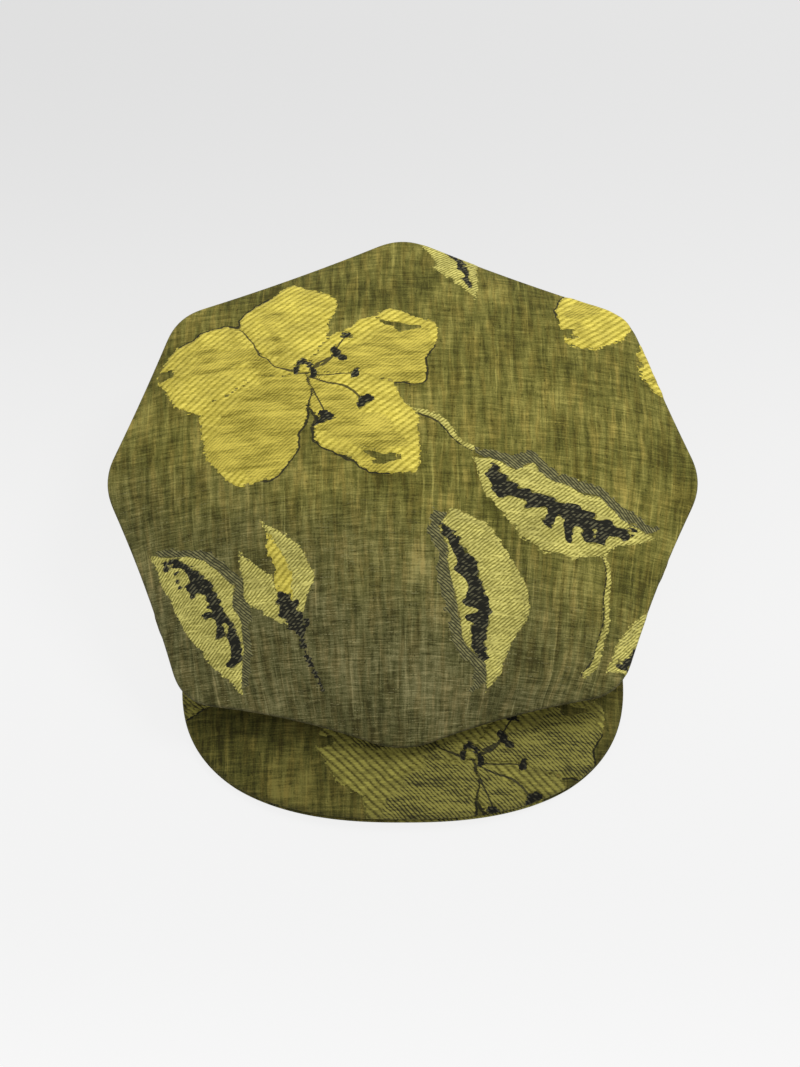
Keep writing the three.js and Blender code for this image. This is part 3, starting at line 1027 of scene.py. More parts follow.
@dataclass(frozen=True)
class JacquardFinish:
    """Linen jacquard with charcoal and yellow threads. Lengths in millimetres, colours linear.

    Attributes:
        rib, row: Width along the weft of one coarse rib, and height of one row of its floats.
        fine_rib, shade_rib, dark_rib: Width along the weft of one rib of the three finer twills.
        fine_row: Height of one thread of such a rib.
        lean: How far the ribs lean along the weft for each length along the warp. Negative leans left.
        charcoal, moss, straw: Colours of the ground's darkest, middling and lightest threads.
        pale: Colour of the stray pale threads along the weft.
        bright, groove: Colours of the tops of the coarse ribs and of what lies between them.
        satin_low, satin_high: The darkest and the lightest colour of the satin. The next three pairs are
            the same of the fine, the shaded and the dark twill.
        line: Half the width of a thin dark line.
        seam_shade, seam_reach: How far painted shade darkens the cloth at a sewn edge, and up to where.
        tone, contrast: What is added to the lightness of the ground, and how unequal its yarns are.
        satin_ribs, satin_dash: How strongly the satin is ribbed, and how unequal the ribs' threads are.
        satin_flow: How unequal its yarns along the weft are.
        shade: Every colour is multiplied by this one. Where it is darker than white, it is painted shade
            over the whole piece.
        brown: So are the ground's brownest yarns by this one.
        front_shade: How far the ground turns darker and greyer, towards charcoal, at the front of the cloth,
            as painted shade.
        front_shade_tint: What is shaded is multiplied by this colour.
        front_shade_slant: How much later that comes to the right, for each length along the weft.
            front_shade_from, front_shade_to: Places along the warp where it starts and where it is complete.
        relief: Height of the threads, in metres.
        sway_across, sway_along: How the drawing strays along the weft and the warp.
        steps, long_steps: The threads' steps in the edges of the weaves, and in those of the longer floats.
        soft_edge: How the satin's edge strays.
        grain: Unevenness as fine as the threads.
        streaks: Stray light and dark threads along the weft.
        clouds: Light and dark places in the leaves and the satin.
        bands, bars, shadows: Stripes of the ground along the warp and the weft, and its wide dark places.
        warp, weft: Its single yarns along the warp and along the weft.
        slubs, crossing: Its thick light yarns along the warp and along the weft.
        knots, brown_yarns: Its dark spots, and its brownish yarns.
        front_shade_edge: Unevenness of the edge of the painted front shade.
        pale_yarns, pale_dashes: Where the stray pale threads lie, and where they come to the surface.
        satin_yarns: Yarns of the satin along the weft.
        over, filled: Floats over the ribs of the leaves, and in the gaps between the coarse ribs.
        petals: Light and dark places of the coarse ribs.
        coarse_sway, fine_sway: How the coarse and the finer ribs stray, as a share of a rib.
    """

    rib: float = 4.2
    row: float = 1.15
    fine_rib: float = 2.15
    shade_rib: float = 1.9
    dark_rib: float = 2.35
    fine_row: float = 0.7
    lean: float = 1.15
    charcoal: Colour = (0.060, 0.056, 0.0075)
    moss: Colour = (0.136, 0.129, 0.023)
    straw: Colour = (0.420, 0.368, 0.090)
    pale: Colour = (0.400, 0.370, 0.170)
    bright: Colour = (0.880, 0.742, 0.128)
    groove: Colour = (0.385, 0.314, 0.022)
    satin_low: Colour = (0.200, 0.168, 0.012)
    satin_high: Colour = (0.790, 0.655, 0.104)
    fine_low: Colour = (0.185, 0.165, 0.022)
    fine_high: Colour = (0.770, 0.700, 0.200)
    shade_low: Colour = (0.030, 0.031, 0.015)
    shade_high: Colour = (0.300, 0.280, 0.115)
    dark_low: Colour = (0.015, 0.015, 0.010)
    dark_high: Colour = (0.135, 0.128, 0.070)
    line: float = 0.45
    seam_shade: float = 0.5
    seam_reach: float = 2.4
    tone: float = 0.0
    contrast: float = 1.0
    satin_ribs: float = 0.38
    satin_flow: float = 2.0
    satin_dash: float = 0.18
    shade: Colour = (1.0, 1.0, 1.0)
    brown: Colour = (1.16, 0.97, 0.85)
    front_shade: float = 0.85
    front_shade_tint: Colour = (0.73, 0.755, 1.5)
    front_shade_slant: float = 0.3
    front_shade_from: float = 5.0
    front_shade_to: float = -95.0
    relief: float = 0.0004
    sway_across: Yarns = Yarns(15, 15, 3.1, 1.1)
    sway_along: Yarns = Yarns(15, 15, 9.7, 1.1)
    steps: tuple[Steps, ...] = (Steps(2.1, 0.9, 1.3), Steps(0.8, 0.8, 0.5))
    long_steps: Steps = Steps(4.3, 1.15, 3.2)
    soft_edge: Yarns = Yarns(12, 4, 67.0, 4.5)
    grain: Yarns = Yarns(0.9, 0.5, 44.0, 0.45)
    streaks: Yarns = Yarns(11, 0.5, 41.0, 0.3, 2.0, 0.6)
    clouds: Yarns = Yarns(18, 11, 47.0, detail=2.0)
    bands: Yarns = Yarns(3.1, 22, 1.0, 1.0, 2.0, 0.55)
    bars: Yarns = Yarns(16, 2.3, 19.0, 0.5)
    shadows: Yarns = Yarns(38, 38, 29.0, 0.8, 2.0)
    warp: Yarns = Yarns(0.72, 8, 2.0, 0.4)
    weft: Yarns = Yarns(9, 0.72, 5.0, 0.72, 2.0, 0.65)
    slubs: Yarns = Yarns(1.5, 80, 13.0, 0.3, low=0.66, high=0.8)
    crossing: Yarns = Yarns(40, 1.2, 17.0, 0.16, low=0.68, high=0.82)
    knots: Yarns = Yarns(1.6, 3.2, 37.0, -0.28, low=0.7, high=0.8)
    brown_yarns: Yarns = Yarns(3.2, 22, 53.0, 0.5, low=0.38, high=0.72)
    front_shade_edge: Yarns = Yarns(30, 30, 59.0, 26.0)
    pale_yarns: Yarns = Yarns(10, 0.42, 83.0, low=0.6, high=0.76)
    pale_dashes: Yarns = Yarns(1.1, 1.0, 84.0, low=0.4, high=0.6)
    satin_yarns: Yarns = Yarns(26, 3.4, 71.0, 0.6, 2.0, 0.6)
    over: Yarns = Yarns(13, 1.2, 93.0, 0.85, low=0.5, high=0.7)
    filled: Yarns = Yarns(4.5, 1.4, 91.0, 0.5, low=0.42, high=0.66)
    petals: Yarns = Yarns(16, 11, 37.0, 0.66)
    coarse_sway: Yarns = Yarns(7, 7, 61.0, 0.25)
    fine_sway: Yarns = Yarns(5, 5, 43.0, 0.5)

    def material(self, name: str) -> bpy.types.Material:
        """Build the cloth's material.

        Args:
            name: Name of the material.

        Returns:
            The material, which reads the piece's cloth map and the attributes of its weaves.
        """
        g = Graph(name)
        places = g.node("ShaderNodeUVMap", {"uv_map": CLOTH_MAP}).outputs["UV"]
        split = g.node("ShaderNodeSeparateXYZ", inputs={"Vector": places})
        x, y = Value(g, split.outputs["X"]) * (1 / MM), Value(g, split.outputs["Y"]) * (1 / MM)
        x = x + self.sway_across.swing(Spot(g, x, y))
        y = y + self.sway_along.swing(Spot(g, x, y))
        at = Spot(g, x, y)

        masks, line = self.masks(at)
        coarsely, satiny = masks[Weave.COARSE], masks[Weave.SATIN]
        streak = self.streaks.noise(at)
        thread = streak.ramp(0.58, 0.72) - 0.8 * (1 - streak).ramp(0.6, 0.72)
        grain = self.grain.noise(at) - 0.5
        cloud = self.clouds.noise(at)
        ground, ground_height = self.plain(at, grain)
        coarse, coarse_height = self.coarse_twill(at, grain, thread)
        ribs, dash = self.fine_ribs(at, self.fine_rib, self.lean)
        flow = self.satin_yarns.strength * self.satin_yarns.noise(at) + 0.4 * cloud
        satin_share = 0.47 + self.satin_ribs * (ribs - 0.5) + self.satin_flow * (flow - 0.5)
        satin_share = satin_share + self.satin_dash * (dash - 0.5) + 0.46 * thread + 0.4 * grain
        satin = g.mix(satin_share, self.satin_low, self.satin_high)
        fine_share = ribs.most(self.over.here(at)) * (0.42 + 0.5 * dash)
        fine_share = 0.06 + fine_share + self.streaks.strength * (streak - 0.5)
        fine = g.mix(fine_share, self.fine_low, self.fine_high)
        fine = g.scaled(fine, 0.68 + 0.24 * thread + 0.66 * cloud)
        dashes, each = self.fine_ribs(at, self.shade_rib, -self.lean)
        shade = g.mix(dashes * (0.3 + 0.7 * each), self.shade_low, self.shade_high)
        dots, dot = self.fine_ribs(at, self.dark_rib, self.lean)
        dark = g.mix(dots.ramp(0.45, 0.95) * dot.ramp(0.3, 0.9), self.dark_low, self.dark_high)

        colour = g.mix(coarsely, ground, g.mix(satiny, coarse, satin))
        for weave, woven in ((Weave.FINE, fine), (Weave.SHADE, shade), (Weave.DARK, dark)):
            colour = g.mix(masks[weave], colour, woven)
        # Thin dark lines: the stamens' and stems' own dark threads, and along the petals' edges partly
        # painted shade in their grooves.
        colour = g.mix(line * 0.85, colour, self.dark_low)
        # Painted shade: the cloth darkens towards its seams, round the crown's rim, at the panels' edges, at
        # the band's top and back seam, and along the peak's outer edge.
        seam_shadow = 1 - g.attribute("from_edge").ramp(0.2, self.seam_reach)
        colour = g.scaled(g.tinted(colour, self.shade), 1 - self.seam_shade * seam_shadow)

        figured = masks[Weave.FINE].most(masks[Weave.SHADE]).most(masks[Weave.DARK])
        height = ground_height * (1 - coarsely) + coarse_height * coarsely
        height = height * (1 - figured) + 0.5 * ribs * figured
        height = height * (1 - 0.7 * satiny) + (0.3 * streak + 0.35 * ribs) * satiny
        lip = g.attribute(Weave.COARSE.value).ramp(-0.2, 1.3)
        lip = lip + 0.6 * g.attribute(Weave.FINE.value).ramp(-0.2, 1.1)
        height = height + 1.2 * lip - 0.8 * line

        bump = g.node("ShaderNodeBump", inputs={"Strength": 0.8, "Distance": self.relief, "Height": height})
        shader = g.node("ShaderNodeBsdfPrincipled", inputs={
            "Base Color": colour,
            "Roughness": 0.9 - 0.25 * coarsely,
            "Normal": bump.outputs[0],
            "Specular IOR Level": 0.2,
            "Sheen Weight": 0.04,
            "Sheen Roughness": 0.4,
        })
        return g.finish(shader)

    def masks(self, at: Spot) -> tuple[dict[Weave, Value], Value]:
        """Where each weave shows, with its edges stepped by the threads.

        Args:
            at: The place on the cloth.

        Returns:
            1 inside and 0 outside for each weave, and the same for the thin dark lines.
        """
        stagger, long = self.steps[0].swing(at) + self.steps[1].swing(at), self.long_steps.swing(at)
        strays = {Weave.SATIN: 0.6 * long + self.soft_edge.swing(at), Weave.DARK: 0.5 * long}
        widths = {Weave.SATIN: 1.8}
        masks = {}
        for weave in Weave:
            width = widths.get(weave, 0.16)
            masks[weave] = (at.graph.attribute(weave.value) + strays.get(weave, stagger)).ramp(-width, width)
        line = abs(at.graph.attribute("line_side") + 0.22 * stagger).ramp(self.line + 0.12, self.line - 0.12)
        return masks, line * at.graph.attribute("line_near").ramp(0.9, 1.1)

    def plain(self, at: Spot, grain: Value) -> tuple[bpy.types.NodeSocket, Value]:
        """The plain ground: streaks of uneven yellow and charcoal threads both ways, with slubs.

        Args:
            at: The place on the cloth.
            grain: Unevenness as fine as the threads, about nought.

        Returns:
            Its colour and its height from 0 to 1.
        """
        g = at.graph
        warp, weft = self.warp.noise(at), self.weft.noise(at)
        # Painted shade: towards the front of the cloth the ground turns darker and greyer, its weft more
        # uneven and with more pale threads, where the crown slopes down away from the light.
        front = at.y + self.front_shade_slant * at.x + self.front_shade_edge.strength * self.front_shade_edge.noise(at)
        front_shade = self.front_shade * (1 - front.ramp(self.front_shade_to, self.front_shade_from))
        share = self.warp.strength * (warp - 0.5) + (self.weft.strength + 0.55 * front_shade) * (weft - 0.5)
        share = share + self.grain.strength * grain
        for yarns in (self.bands, self.bars, self.shadows):
            share = share + yarns.swing(at)
        for yarns in (self.slubs, self.crossing, self.knots):
            share = share + yarns.here(at)
        share = 0.45 + self.tone + self.contrast * share
        low = g.mix(share.ramp(0.0, 0.45), self.charcoal, self.moss)
        colour = g.mix(share.ramp(0.3, 1.25), low, self.straw)
        colour = g.mix(self.brown_yarns.here(at), colour, g.tinted(colour, self.brown))
        colour = g.mix(front_shade, colour, g.tinted(colour, self.front_shade_tint))
        stray = self.pale_yarns.here(at) * self.pale_dashes.here(at)
        colour = g.mix(stray * (0.08 + 0.6 * front_shade), colour, self.pale)
        return colour, 0.25 * (warp + weft)

    def coarse_twill(self, at: Spot, grain: Value, thread: Value) -> tuple[bpy.types.NodeSocket, Value]:
        """The bright petals: rows of long floats, each set on from the last, so that they lean in ribs.

        A float is bright from its start to its end, with painted shade rounding it across its row, and the
        gap between floats is dark.

        Args:
            at: The place on the cloth.
            grain: Unevenness as fine as the threads, about nought.
            thread: Stray threads along the weft, 1 for light and -1 for dark.

        Returns:
            Its colour and its height from 0 to 1.
        """
        g = at.graph
        row = (at.y / self.row).floor()
        # This is another number at every place, which frays the ends of the floats.
        fray = 0.35 * (g.speckle(row, at.x / 1e6) - 0.5)
        stepped = 0.5 * self.row * row + 0.5 * at.y
        along = (at.x - stepped * self.lean + fray) / self.rib + self.coarse_sway.swing(at)
        phase = along.part()
        floats = phase.ramp(-0.04, 0.36) * (1 - phase).ramp(-0.04, 0.26)
        floats = floats.most(self.filled.here(at))
        # Painted shade: each float darkens towards the edges of its row, as a round yarn does in the light.
        across = 1 - 0.26 * abs(2 * (at.y / self.row).part() - 1) ** 3
        each = g.speckle(along.floor(), row)
        top = floats * across * (0.56 + 0.5 * each + 0.5 * grain) + 0.22 * thread
        light = 0.66 + self.petals.strength * self.petals.noise(at)
        return g.scaled(g.mix(top, self.groove, self.bright), light), 0.35 + 0.65 * floats * across

    def fine_ribs(self, at: Spot, pitch: float, lean: float) -> tuple[Value, Value]:
        """Fine leaning ribs, whose threads are unequal.

        Args:
            at: The place on the cloth.
            pitch: Width of a rib along the weft.
            lean: How far the ribs lean.

        Returns:
            The ribs' height, 1 on top and 0 between them, and a number from 0 to 1 for each thread.
        """
        along = (at.x - at.y * lean) / pitch + self.fine_sway.strength * self.fine_sway.noise(at)
        ribs = (1 - abs(2 * along.part() - 1)).ramp(0.05, 0.75)
        return ribs, at.graph.speckle(along.floor(), (at.y / self.fine_row).floor())


# The cap's pieces


@dataclass
class Rim:
    """The eight-cornered outline that the crown top and the side panels share. Metres.

    Attributes:
        corners: Its corners from the front round by the right, each sharp before it is rounded.
        bows: How far the middle of each edge is drawn in.
        tangent: How far from its corner each edge starts to round.
        ease: Length over which the outline is smoothed.
        radius: Of the cloth's middle where the crown turns under.
        cloth: Thickness of the cloth.
        seam: Degrees below the rim's widest line where top and sides are sewn.
        gap: Clear space at the seam.
        pieces: How many straight pieces stand for each corner and for each edge at first.
        count: How many points the outline is then laid in.
        line, turns, outward: Those points, how many corners each is on from the front, and the level
            direction out of the crown at each.
    """

    corners: tuple[tuple[float, float, float], ...] = (
        (0.0, -0.1124, 0.0184),
        (0.1015, -0.0852, 0.0248),
        (0.1420, 0.0091, 0.0580),
        (0.1095, 0.0961, 0.0670),
        (0.0, 0.1446, 0.0660),
        (-0.1095, 0.0961, 0.0670),
        (-0.1420, 0.0091, 0.0580),
        (-0.1030, -0.0886, 0.0230),
    )
    bows: tuple[float, ...] = (0.0024, 0.0016, 0.0005, 0.0012, 0.0012, 0.0005, 0.0016, 0.0028)
    tangent: float = 0.0115
    ease: float = 0.0028
    radius: float = 0.0022
    cloth: float = 0.0015
    seam: float = -14.0
    gap: float = 0.0001
    pieces: int = 60
    count: int = 4096
    line: np.ndarray = field(init=False)
    turns: np.ndarray = field(init=False)
    outward: np.ndarray = field(init=False)

    def __post_init__(self) -> None:
        """Lay the rounded outline as a closed run of points.

        Each corner is a quadratic Bézier curve from one edge to the next, and each edge another through a
        point drawn in by its bow. The run is then averaged over the ease. A turn counts the corners round
        from the front, whole at the middle of each.
        """
        corner = np.array(self.corners)
        ahead, behind = np.roll(corner, -1, 0) - corner, np.roll(corner, 1, 0) - corner
        after, before = corner + self.tangent * unit(ahead), corner + self.tangent * unit(behind)
        to = np.roll(before, -1, 0)
        edge = to - after
        inward = unit(np.stack([-edge[:, 1], edge[:, 0], np.zeros(CORNERS)], -1))
        inward = inward * np.array(self.bows)[:, None]
        t = np.linspace(0, 1, self.pieces, endpoint=False)[:, None, None]
        arcs = bezier([before, corner, after], t)
        edges = bezier([after, (after + to) / 2 + 2 * inward, to], t)
        run = np.concatenate([arcs, edges]).transpose(1, 0, 2).reshape(-1, 3)
        corner_share = 0.12
        arc, side = 2 * corner_share, 1 - 2 * corner_share
        share = np.concatenate([arc * t[:, 0, 0] - corner_share, side * t[:, 0, 0] + corner_share])
        turns = (np.arange(CORNERS)[:, None] + share).ravel()
        steps = np.linalg.norm(np.roll(run, -1, 0) - run, axis=1)
        length = np.concatenate([[0], np.cumsum(steps)])
        even = np.linspace(0, length[-1], self.count, endpoint=False)
        laid = np.stack([np.interp(even, length, np.append(run[:, i], run[0, i])) for i in range(3)], -1)
        self.turns = np.interp(even, length, np.append(turns, turns[0] + CORNERS))
        wave = np.fft.rfftfreq(self.count, length[-1] / self.count)[:, None]
        fade = np.exp(-2 * (math.pi * self.ease * wave) ** 2)
        self.line = np.fft.irfft(np.fft.rfft(laid, axis=0) * fade, self.count, axis=0)
        along = unit(np.roll(self.line, -1, 0) - np.roll(self.line, 1, 0))
        self.outward = unit(np.stack([along[:, 1], -along[:, 0], np.zeros(self.count)], -1))

    def at(self, turn: np.ndarray) -> tuple[np.ndarray, np.ndarray]:
        """Find places on the outline.

        Args:
            turn: Corners counted round from the front.

        Returns:
            Each place, and the level direction that points out of the crown there.
        """
        place, out = (
            np.stack([np.interp(turn, self.turns, part, period=CORNERS) for part in run.T], -1)
            for run in (self.line, self.outward)
        )
        return place, unit(out)

    def roll(self, at: np.ndarray, out: np.ndarray, degrees: np.ndarray | float) -> np.ndarray:
        """The cloth's middle where the crown turns under.

        Args:
            at: Places on the outline.
            out: The direction out of the crown at each.
            degrees: Angle above the rim's widest line.

        Returns:
            The centre of the turn, set in from the outline, plus the radius at that angle.
        """
        angle = np.radians(degrees)[..., None]
        centre = at - out * (self.radius + self.cloth / 2)
        return centre + self.radius * (np.cos(angle) * out + np.sin(angle) * UP)


@dataclass
class CrownTop:
    """The one-piece top of the crown. Metres.

    Attributes:
        rim: Its outline.
        height: Of its cloth's middle over the table.
        fullness: Power of its fall from its centre to its rim.
        cells: Faces along each side of its grid, a multiple of twice the next.
        sparse: One in so many lines of the grid is kept on the wrong side.
        turned: How many of the grid's rings lie round the rim.
        waves, angles: How many waves of the rim's run are kept, and at how many angles it is read.
        rays: Along how many angles the cloth's length is summed.
        billow, pucker: Height of its broad and of its small unevenness.
        roll: How far the cloth stands up just inside the drooping front rim.
    """

    rim: Rim
    height: float = 0.088
    fullness: float = 2.4
    cells: int = 296
    sparse: int = 4
    turned: int = 6
    waves: int = 120
    angles: int = 1024
    rays: int = 256
    billow: float = 0.0007
    pucker: float = 0.00022
    roll: float = 0.003

    def fade_in(self, edge: np.ndarray, share: np.ndarray, angle: np.ndarray) -> np.ndarray:
        """The top inside its edge.

        The edge's run is a sum of waves, and each fades towards the centre as the share to the power of its
        number, so its corners fade first. Its depth below the centre fades at least as the fullness.

        Args:
            edge: Places where the top starts to turn under, at even angles round.
            share: Share of the way out to the edge.
            angle: Angle round the centre.

        Returns:
            A place for each share and angle.
        """
        count = len(edge)
        plan = np.fft.fft(edge[:, :2], axis=0)[: self.waves] / count
        depth = np.fft.fft(self.height - edge[:, 2])[: self.waves] / count
        turn = share * np.exp(1j * angle)
        power = np.ones_like(turn)
        place = np.zeros((*share.shape, 3))
        for wave in range(self.waves):
            twice = 1 if wave == 0 else 2
            floor = share ** max(self.fullness - wave, 0)
            place[..., 0] += twice * (plan[wave, 0] * power).real
            place[..., 1] += twice * (plan[wave, 1] * power).real
            place[..., 2] -= twice * (depth[wave] * power * floor).real
            power = power * turn
        place[..., 2] += self.height
        return place

    def edge(self) -> tuple[np.ndarray, np.ndarray, np.ndarray, np.ndarray]:
        """Find where the top starts to turn under, at the slope that it has there.

        Returns:
            For even angles round the centre: the turn on the rim, the start in degrees above the rim's
            widest line, the place where the turn starts, and the angles.
        """
        line, turns = self.rim.line, self.rim.turns
        centre = line[:, :2].mean(0)
        around = np.unwrap(np.arctan2(line[:, 1] - centre[1], line[:, 0] - centre[0]))
        angles = np.linspace(0, TAU, self.angles, endpoint=False)
        wound = (angles - around[0]) % TAU + around[0]
        whole = np.append(turns, turns[0] + CORNERS)
        turn = np.interp(wound, np.append(around, around[0] + TAU), whole)
        at, out = self.rim.at(turn)
        start = np.full(len(angles), 60.0)
        for _ in range(3):
            edge = self.rim.roll(at, out, start)
            inner = self.fade_in(edge, np.full(len(angles), 0.97), angles)
            run = np.linalg.norm((edge - inner)[:, :2], axis=1)
            start = 90 - np.degrees(np.arctan2(inner[:, 2] - edge[:, 2], run))
        return turn, start, self.rim.roll(at, out, start), angles

    def skin(self, design: JacquardDesign) -> Skin:
        """Lay the top on a square grid whose rings run from its centre to the seam.

        A point of the square that is a share of the way out, and so far round, takes that share and that
        angle. The innermost rings lie on the top and the outermost turn round the rim.

        Args:
            design: What is woven into it.

        Returns:
            The closed skin.
        """
        half = self.cells // 2
        line = np.arange(-half, half + 1)
        a, b = np.meshgrid(line, line, indexing="ij")
        ring = np.maximum(abs(a), abs(b))
        wide = abs(a) >= abs(b)
        slant = np.where(wide, b / np.where(a == 0, 1, a), a / np.where(b == 0, 1, b)) * math.pi / 4
        angle = np.where(wide, slant + math.pi * (a < 0), math.pi / 2 - slant + math.pi * (b < 0)) % TAU
        angle[half, half] = 0.0

        flat = half - self.turned
        turn, start, edge, angles = self.edge()
        share = np.minimum(ring / flat, 1)
        middle = self.fade_in(edge, share, angle)
        at, out = self.rim.at(self.wind(angle, angles, turn))
        past = np.clip((ring - flat) / self.turned, 0, 1)
        seam = self.rim.seam + math.degrees(self.rim.gap / 2 / self.rim.radius)
        degrees = np.interp(angle, angles, start, period=TAU) * (1 - past) + seam * past
        rolled = ring >= flat
        middle[rolled] = self.rim.roll(at, out, degrees)[rolled]
        middle = self.uneven(middle, share)
        across = grid_normals(middle)
        lean = np.radians(degrees)[..., None]
        across[rolled] = (np.cos(lean) * out + np.sin(lean) * UP)[rolled]
        cloth = self.flat_cloth(middle, ring, angle)
        arc = self.rim.radius * np.radians(degrees - seam) / MM
        from_edge = arc + (flat - ring).clip(0)
        return two_sided(middle, across, self.rim.cloth, cloth, from_edge, design, self.sparse)

    def wind(self, angle: np.ndarray, angles: np.ndarray, turn: np.ndarray) -> np.ndarray:
        """The turn on the rim at any angle, from that at even angles, which may pass the front once."""
        steady = np.unwrap(turn, period=CORNERS)
        return np.interp(angle, np.append(angles, TAU), np.append(steady, steady[0] + CORNERS)) % CORNERS

    def uneven(self, middle: np.ndarray, share: np.ndarray) -> np.ndarray:
        """Give the top the slight hollows of a soft cloth, and a soft roll along its front rim.

        The hollows die out at the rim. The roll rises over the outer ninth of the way, more at the right
        than at the left, and sinks again towards the centre.

        Args:
            middle: The cloth's middle.
            share: Share of the way out to the edge.

        Returns:
            The moved middle.
        """
        x, y = middle[..., 0], middle[..., 1]
        hollow = self.billow * ripples(x, y, 0.11, 5) + self.pucker * ripples(x, y, 0.037, 6)
        front = smooth_step(-y, 0.03, 0.085) * (0.75 + 0.6 * np.clip(x / 0.1, -1, 1))
        swell = self.roll * front * smooth_step(share, 1.0, 0.89) * smooth_step(share, 0.5, 0.89)
        return middle + grid_normals(middle) * (hollow * (1 - share**5) + swell)[..., None]

    def flat_cloth(self, middle: np.ndarray, ring: np.ndarray, angle: np.ndarray) -> np.ndarray:
        """Find each point's place on the flat cloth.

        It lies in the direction that the point lies in from the crown's centre, at the length of the cloth
        between the two, which is summed from ring to ring on rays at even angles and read off between them.

        Args:
            middle: The cloth's middle.
            ring: Number of each point's ring.
            angle: Angle of each point.

        Returns:
            Places on the flat cloth, from its centre.
        """
        half, count = self.cells // 2, self.rays
        rays = np.linspace(0, TAU, count, endpoint=False)
        radii = np.arange(half + 1)
        quarter = np.round(rays / (TAU / 4))
        slant = rays / (TAU / 8) - 2 * quarter
        u, v = np.cos(quarter * TAU / 4).round(), np.sin(quarter * TAU / 4).round()
        row, column = radii[:, None] * (u - v * slant) + half, radii[:, None] * (v + u * slant) + half
        i = np.minimum(np.floor(row).astype(int), 2 * half - 1)
        j = np.minimum(np.floor(column).astype(int), 2 * half - 1)
        down, right = (row - i)[..., None], (column - j)[..., None]
        near = middle[i, j] * (1 - right) + middle[i, j + 1] * right
        far = middle[i + 1, j] * (1 - right) + middle[i + 1, j + 1] * right
        length = run_lengths(near * (1 - down) + far * down, 0)
        position = angle / TAU * count
        low = np.floor(position).astype(int)
        part = position - low
        away = length[ring, low % count] * (1 - part) + length[ring, (low + 1) % count] * part
        offset = middle[..., :2] - middle[half, half, :2]
        heading = np.arctan2(offset[..., 1], offset[..., 0])
        return np.stack([away * np.cos(heading), away * np.sin(heading)], -1)


@dataclass
class HeadBand:
    """The doubled band round the head. Metres.

    Attributes:
        half_width, half_length: Of its inside, from left to right and from front to back.
        centre: Its centre's place along Y.
        thickness, height: Of the doubled cloth, and of the band.
        flat_from, front_lift: Behind this Y its lower edge lies flat, and how high that is at its front.
        around, section: Points round it, and round its upright profile.
        corner: Radius of the profile's corners.
        seam_width, nip: Half the width over which it is nipped at its back seam, and how much thinner it is.
        slack: How uneven it is.
        fold: Length of cloth that its folded upper edge takes.
        cut_from: Where on the cloth the lower end of its back seam is cut from.
    """

    half_width: float = 0.082
    half_length: float = 0.100
    centre: float = 0.0151
    thickness: float = 0.0026
    height: float = 0.028
    flat_from: float = 0.061
    front_lift: float = 0.009
    around: int = 360
    section: int = 80
    corner: float = 0.0011
    seam_width: float = 0.0016
    nip: float = 0.45
    slack: float = 0.0003
    fold: float = 0.004
    cut_from: tuple[float, float] = (-0.012, 0.155)

    def bottom(self, y: np.ndarray) -> np.ndarray:
        """Height of the lower edge: the front lift times the square of the share of the way to the front."""
        front = self.centre - self.half_length
        return self.front_lift * np.clip((self.flat_from - y) / (self.flat_from - front), 0, 1) ** 2

    def at(self, angle: np.ndarray, outset: np.ndarray | float) -> np.ndarray:
        """A place on the lower edge's ellipse, outset from the inside, angle 0 being to the right."""
        x = (self.half_width + outset) * np.cos(angle)
        y = self.centre + (self.half_length + outset) * np.sin(angle)
        return np.stack([x, y, self.bottom(y)], -1)

    def skin(self, design: JacquardDesign) -> Skin:
        """Carry a rounded upright profile round the ellipse, nipped at the back seam.

        Args:
            design: What is woven into it.

        Returns:
            The closed skin, whose cloth map runs round the band and up it.
        """
        across, up = self.profile()
        turned = np.linspace(0, TAU, self.around + 1)
        turned[-1] = 0.0
        angle = turned + math.pi / 2
        from_seam = np.minimum(turned, TAU - turned) * self.half_width
        nip = self.nip * np.exp(-((from_seam / self.seam_width) ** 2))
        slack = self.slack * ripples(np.cos(angle) * 3, np.sin(angle) * 3, 1.6, 21)
        outset = self.thickness / 2 + across[None, :] * (1 - nip[:, None]) + slack[:, None]
        points = self.at(angle[:, None], outset)
        points[..., 2] += up
        around = run_lengths(self.at(angle, self.thickness / 2)[None], 1)[0]
        fold = np.where(across > 0, up, -up - self.fold)
        cloth = np.stack(np.broadcast_arrays(around[:, None], fold[None, :]), -1) + np.array(self.cut_from)
        from_top = np.minimum(self.height - up[None, :], from_seam[:, None]) / MM
        return Skin(
            points.reshape(-1, 3),
            cloth.reshape(-1, 2),
            design.draw(cloth),
            np.zeros(cloth[..., 0].size),
            from_top.ravel(),
            [grid_faces(0, self.around + 1, self.section, loop=True)],
            welded=self.section,
        )

    def profile(self) -> tuple[np.ndarray, np.ndarray]:
        """The band's upright profile, a tall rectangle with round corners.

        Across it is half · |cos|^½ and up it (height / 2 - corner) · |sin|^½ + corner · sin, both with the
        sign of the cosine or sine. Its points are spaced evenly by the move up plus six times the move
        across, so that the folded ends get more of them.

        Returns:
            Places across the band's thickness, from its middle, and up its height.
        """
        angle = np.linspace(0, TAU, 4001)
        across = self.thickness / 2 * np.sign(np.cos(angle)) * np.abs(np.cos(angle)) ** 0.5
        rise = np.sign(np.sin(angle)) * np.abs(np.sin(angle)) ** 0.5
        up = self.height / 2 + (self.height / 2 - self.corner) * rise + self.corner * np.sin(angle)
        way = np.concatenate([[0], np.cumsum(np.abs(np.diff(up)) + 6 * np.abs(np.diff(across)))])
        even = np.linspace(0, way[-1], self.section, endpoint=False)
        return np.interp(even, way, across), np.interp(even, way, up)


def way_down(outward: np.ndarray, facing: np.ndarray) -> np.ndarray:
    """The way down an upright cloth: outward · sin(facing) - up · cos(facing).

    Args:
        outward: The level direction out of the cap.
        facing: Degrees above level that the cloth faces.

    Returns:
        The direction for each row.
    """
    lean = np.radians(facing)[:, None]
    return np.sin(lean) * outward - np.cos(lean) * UP


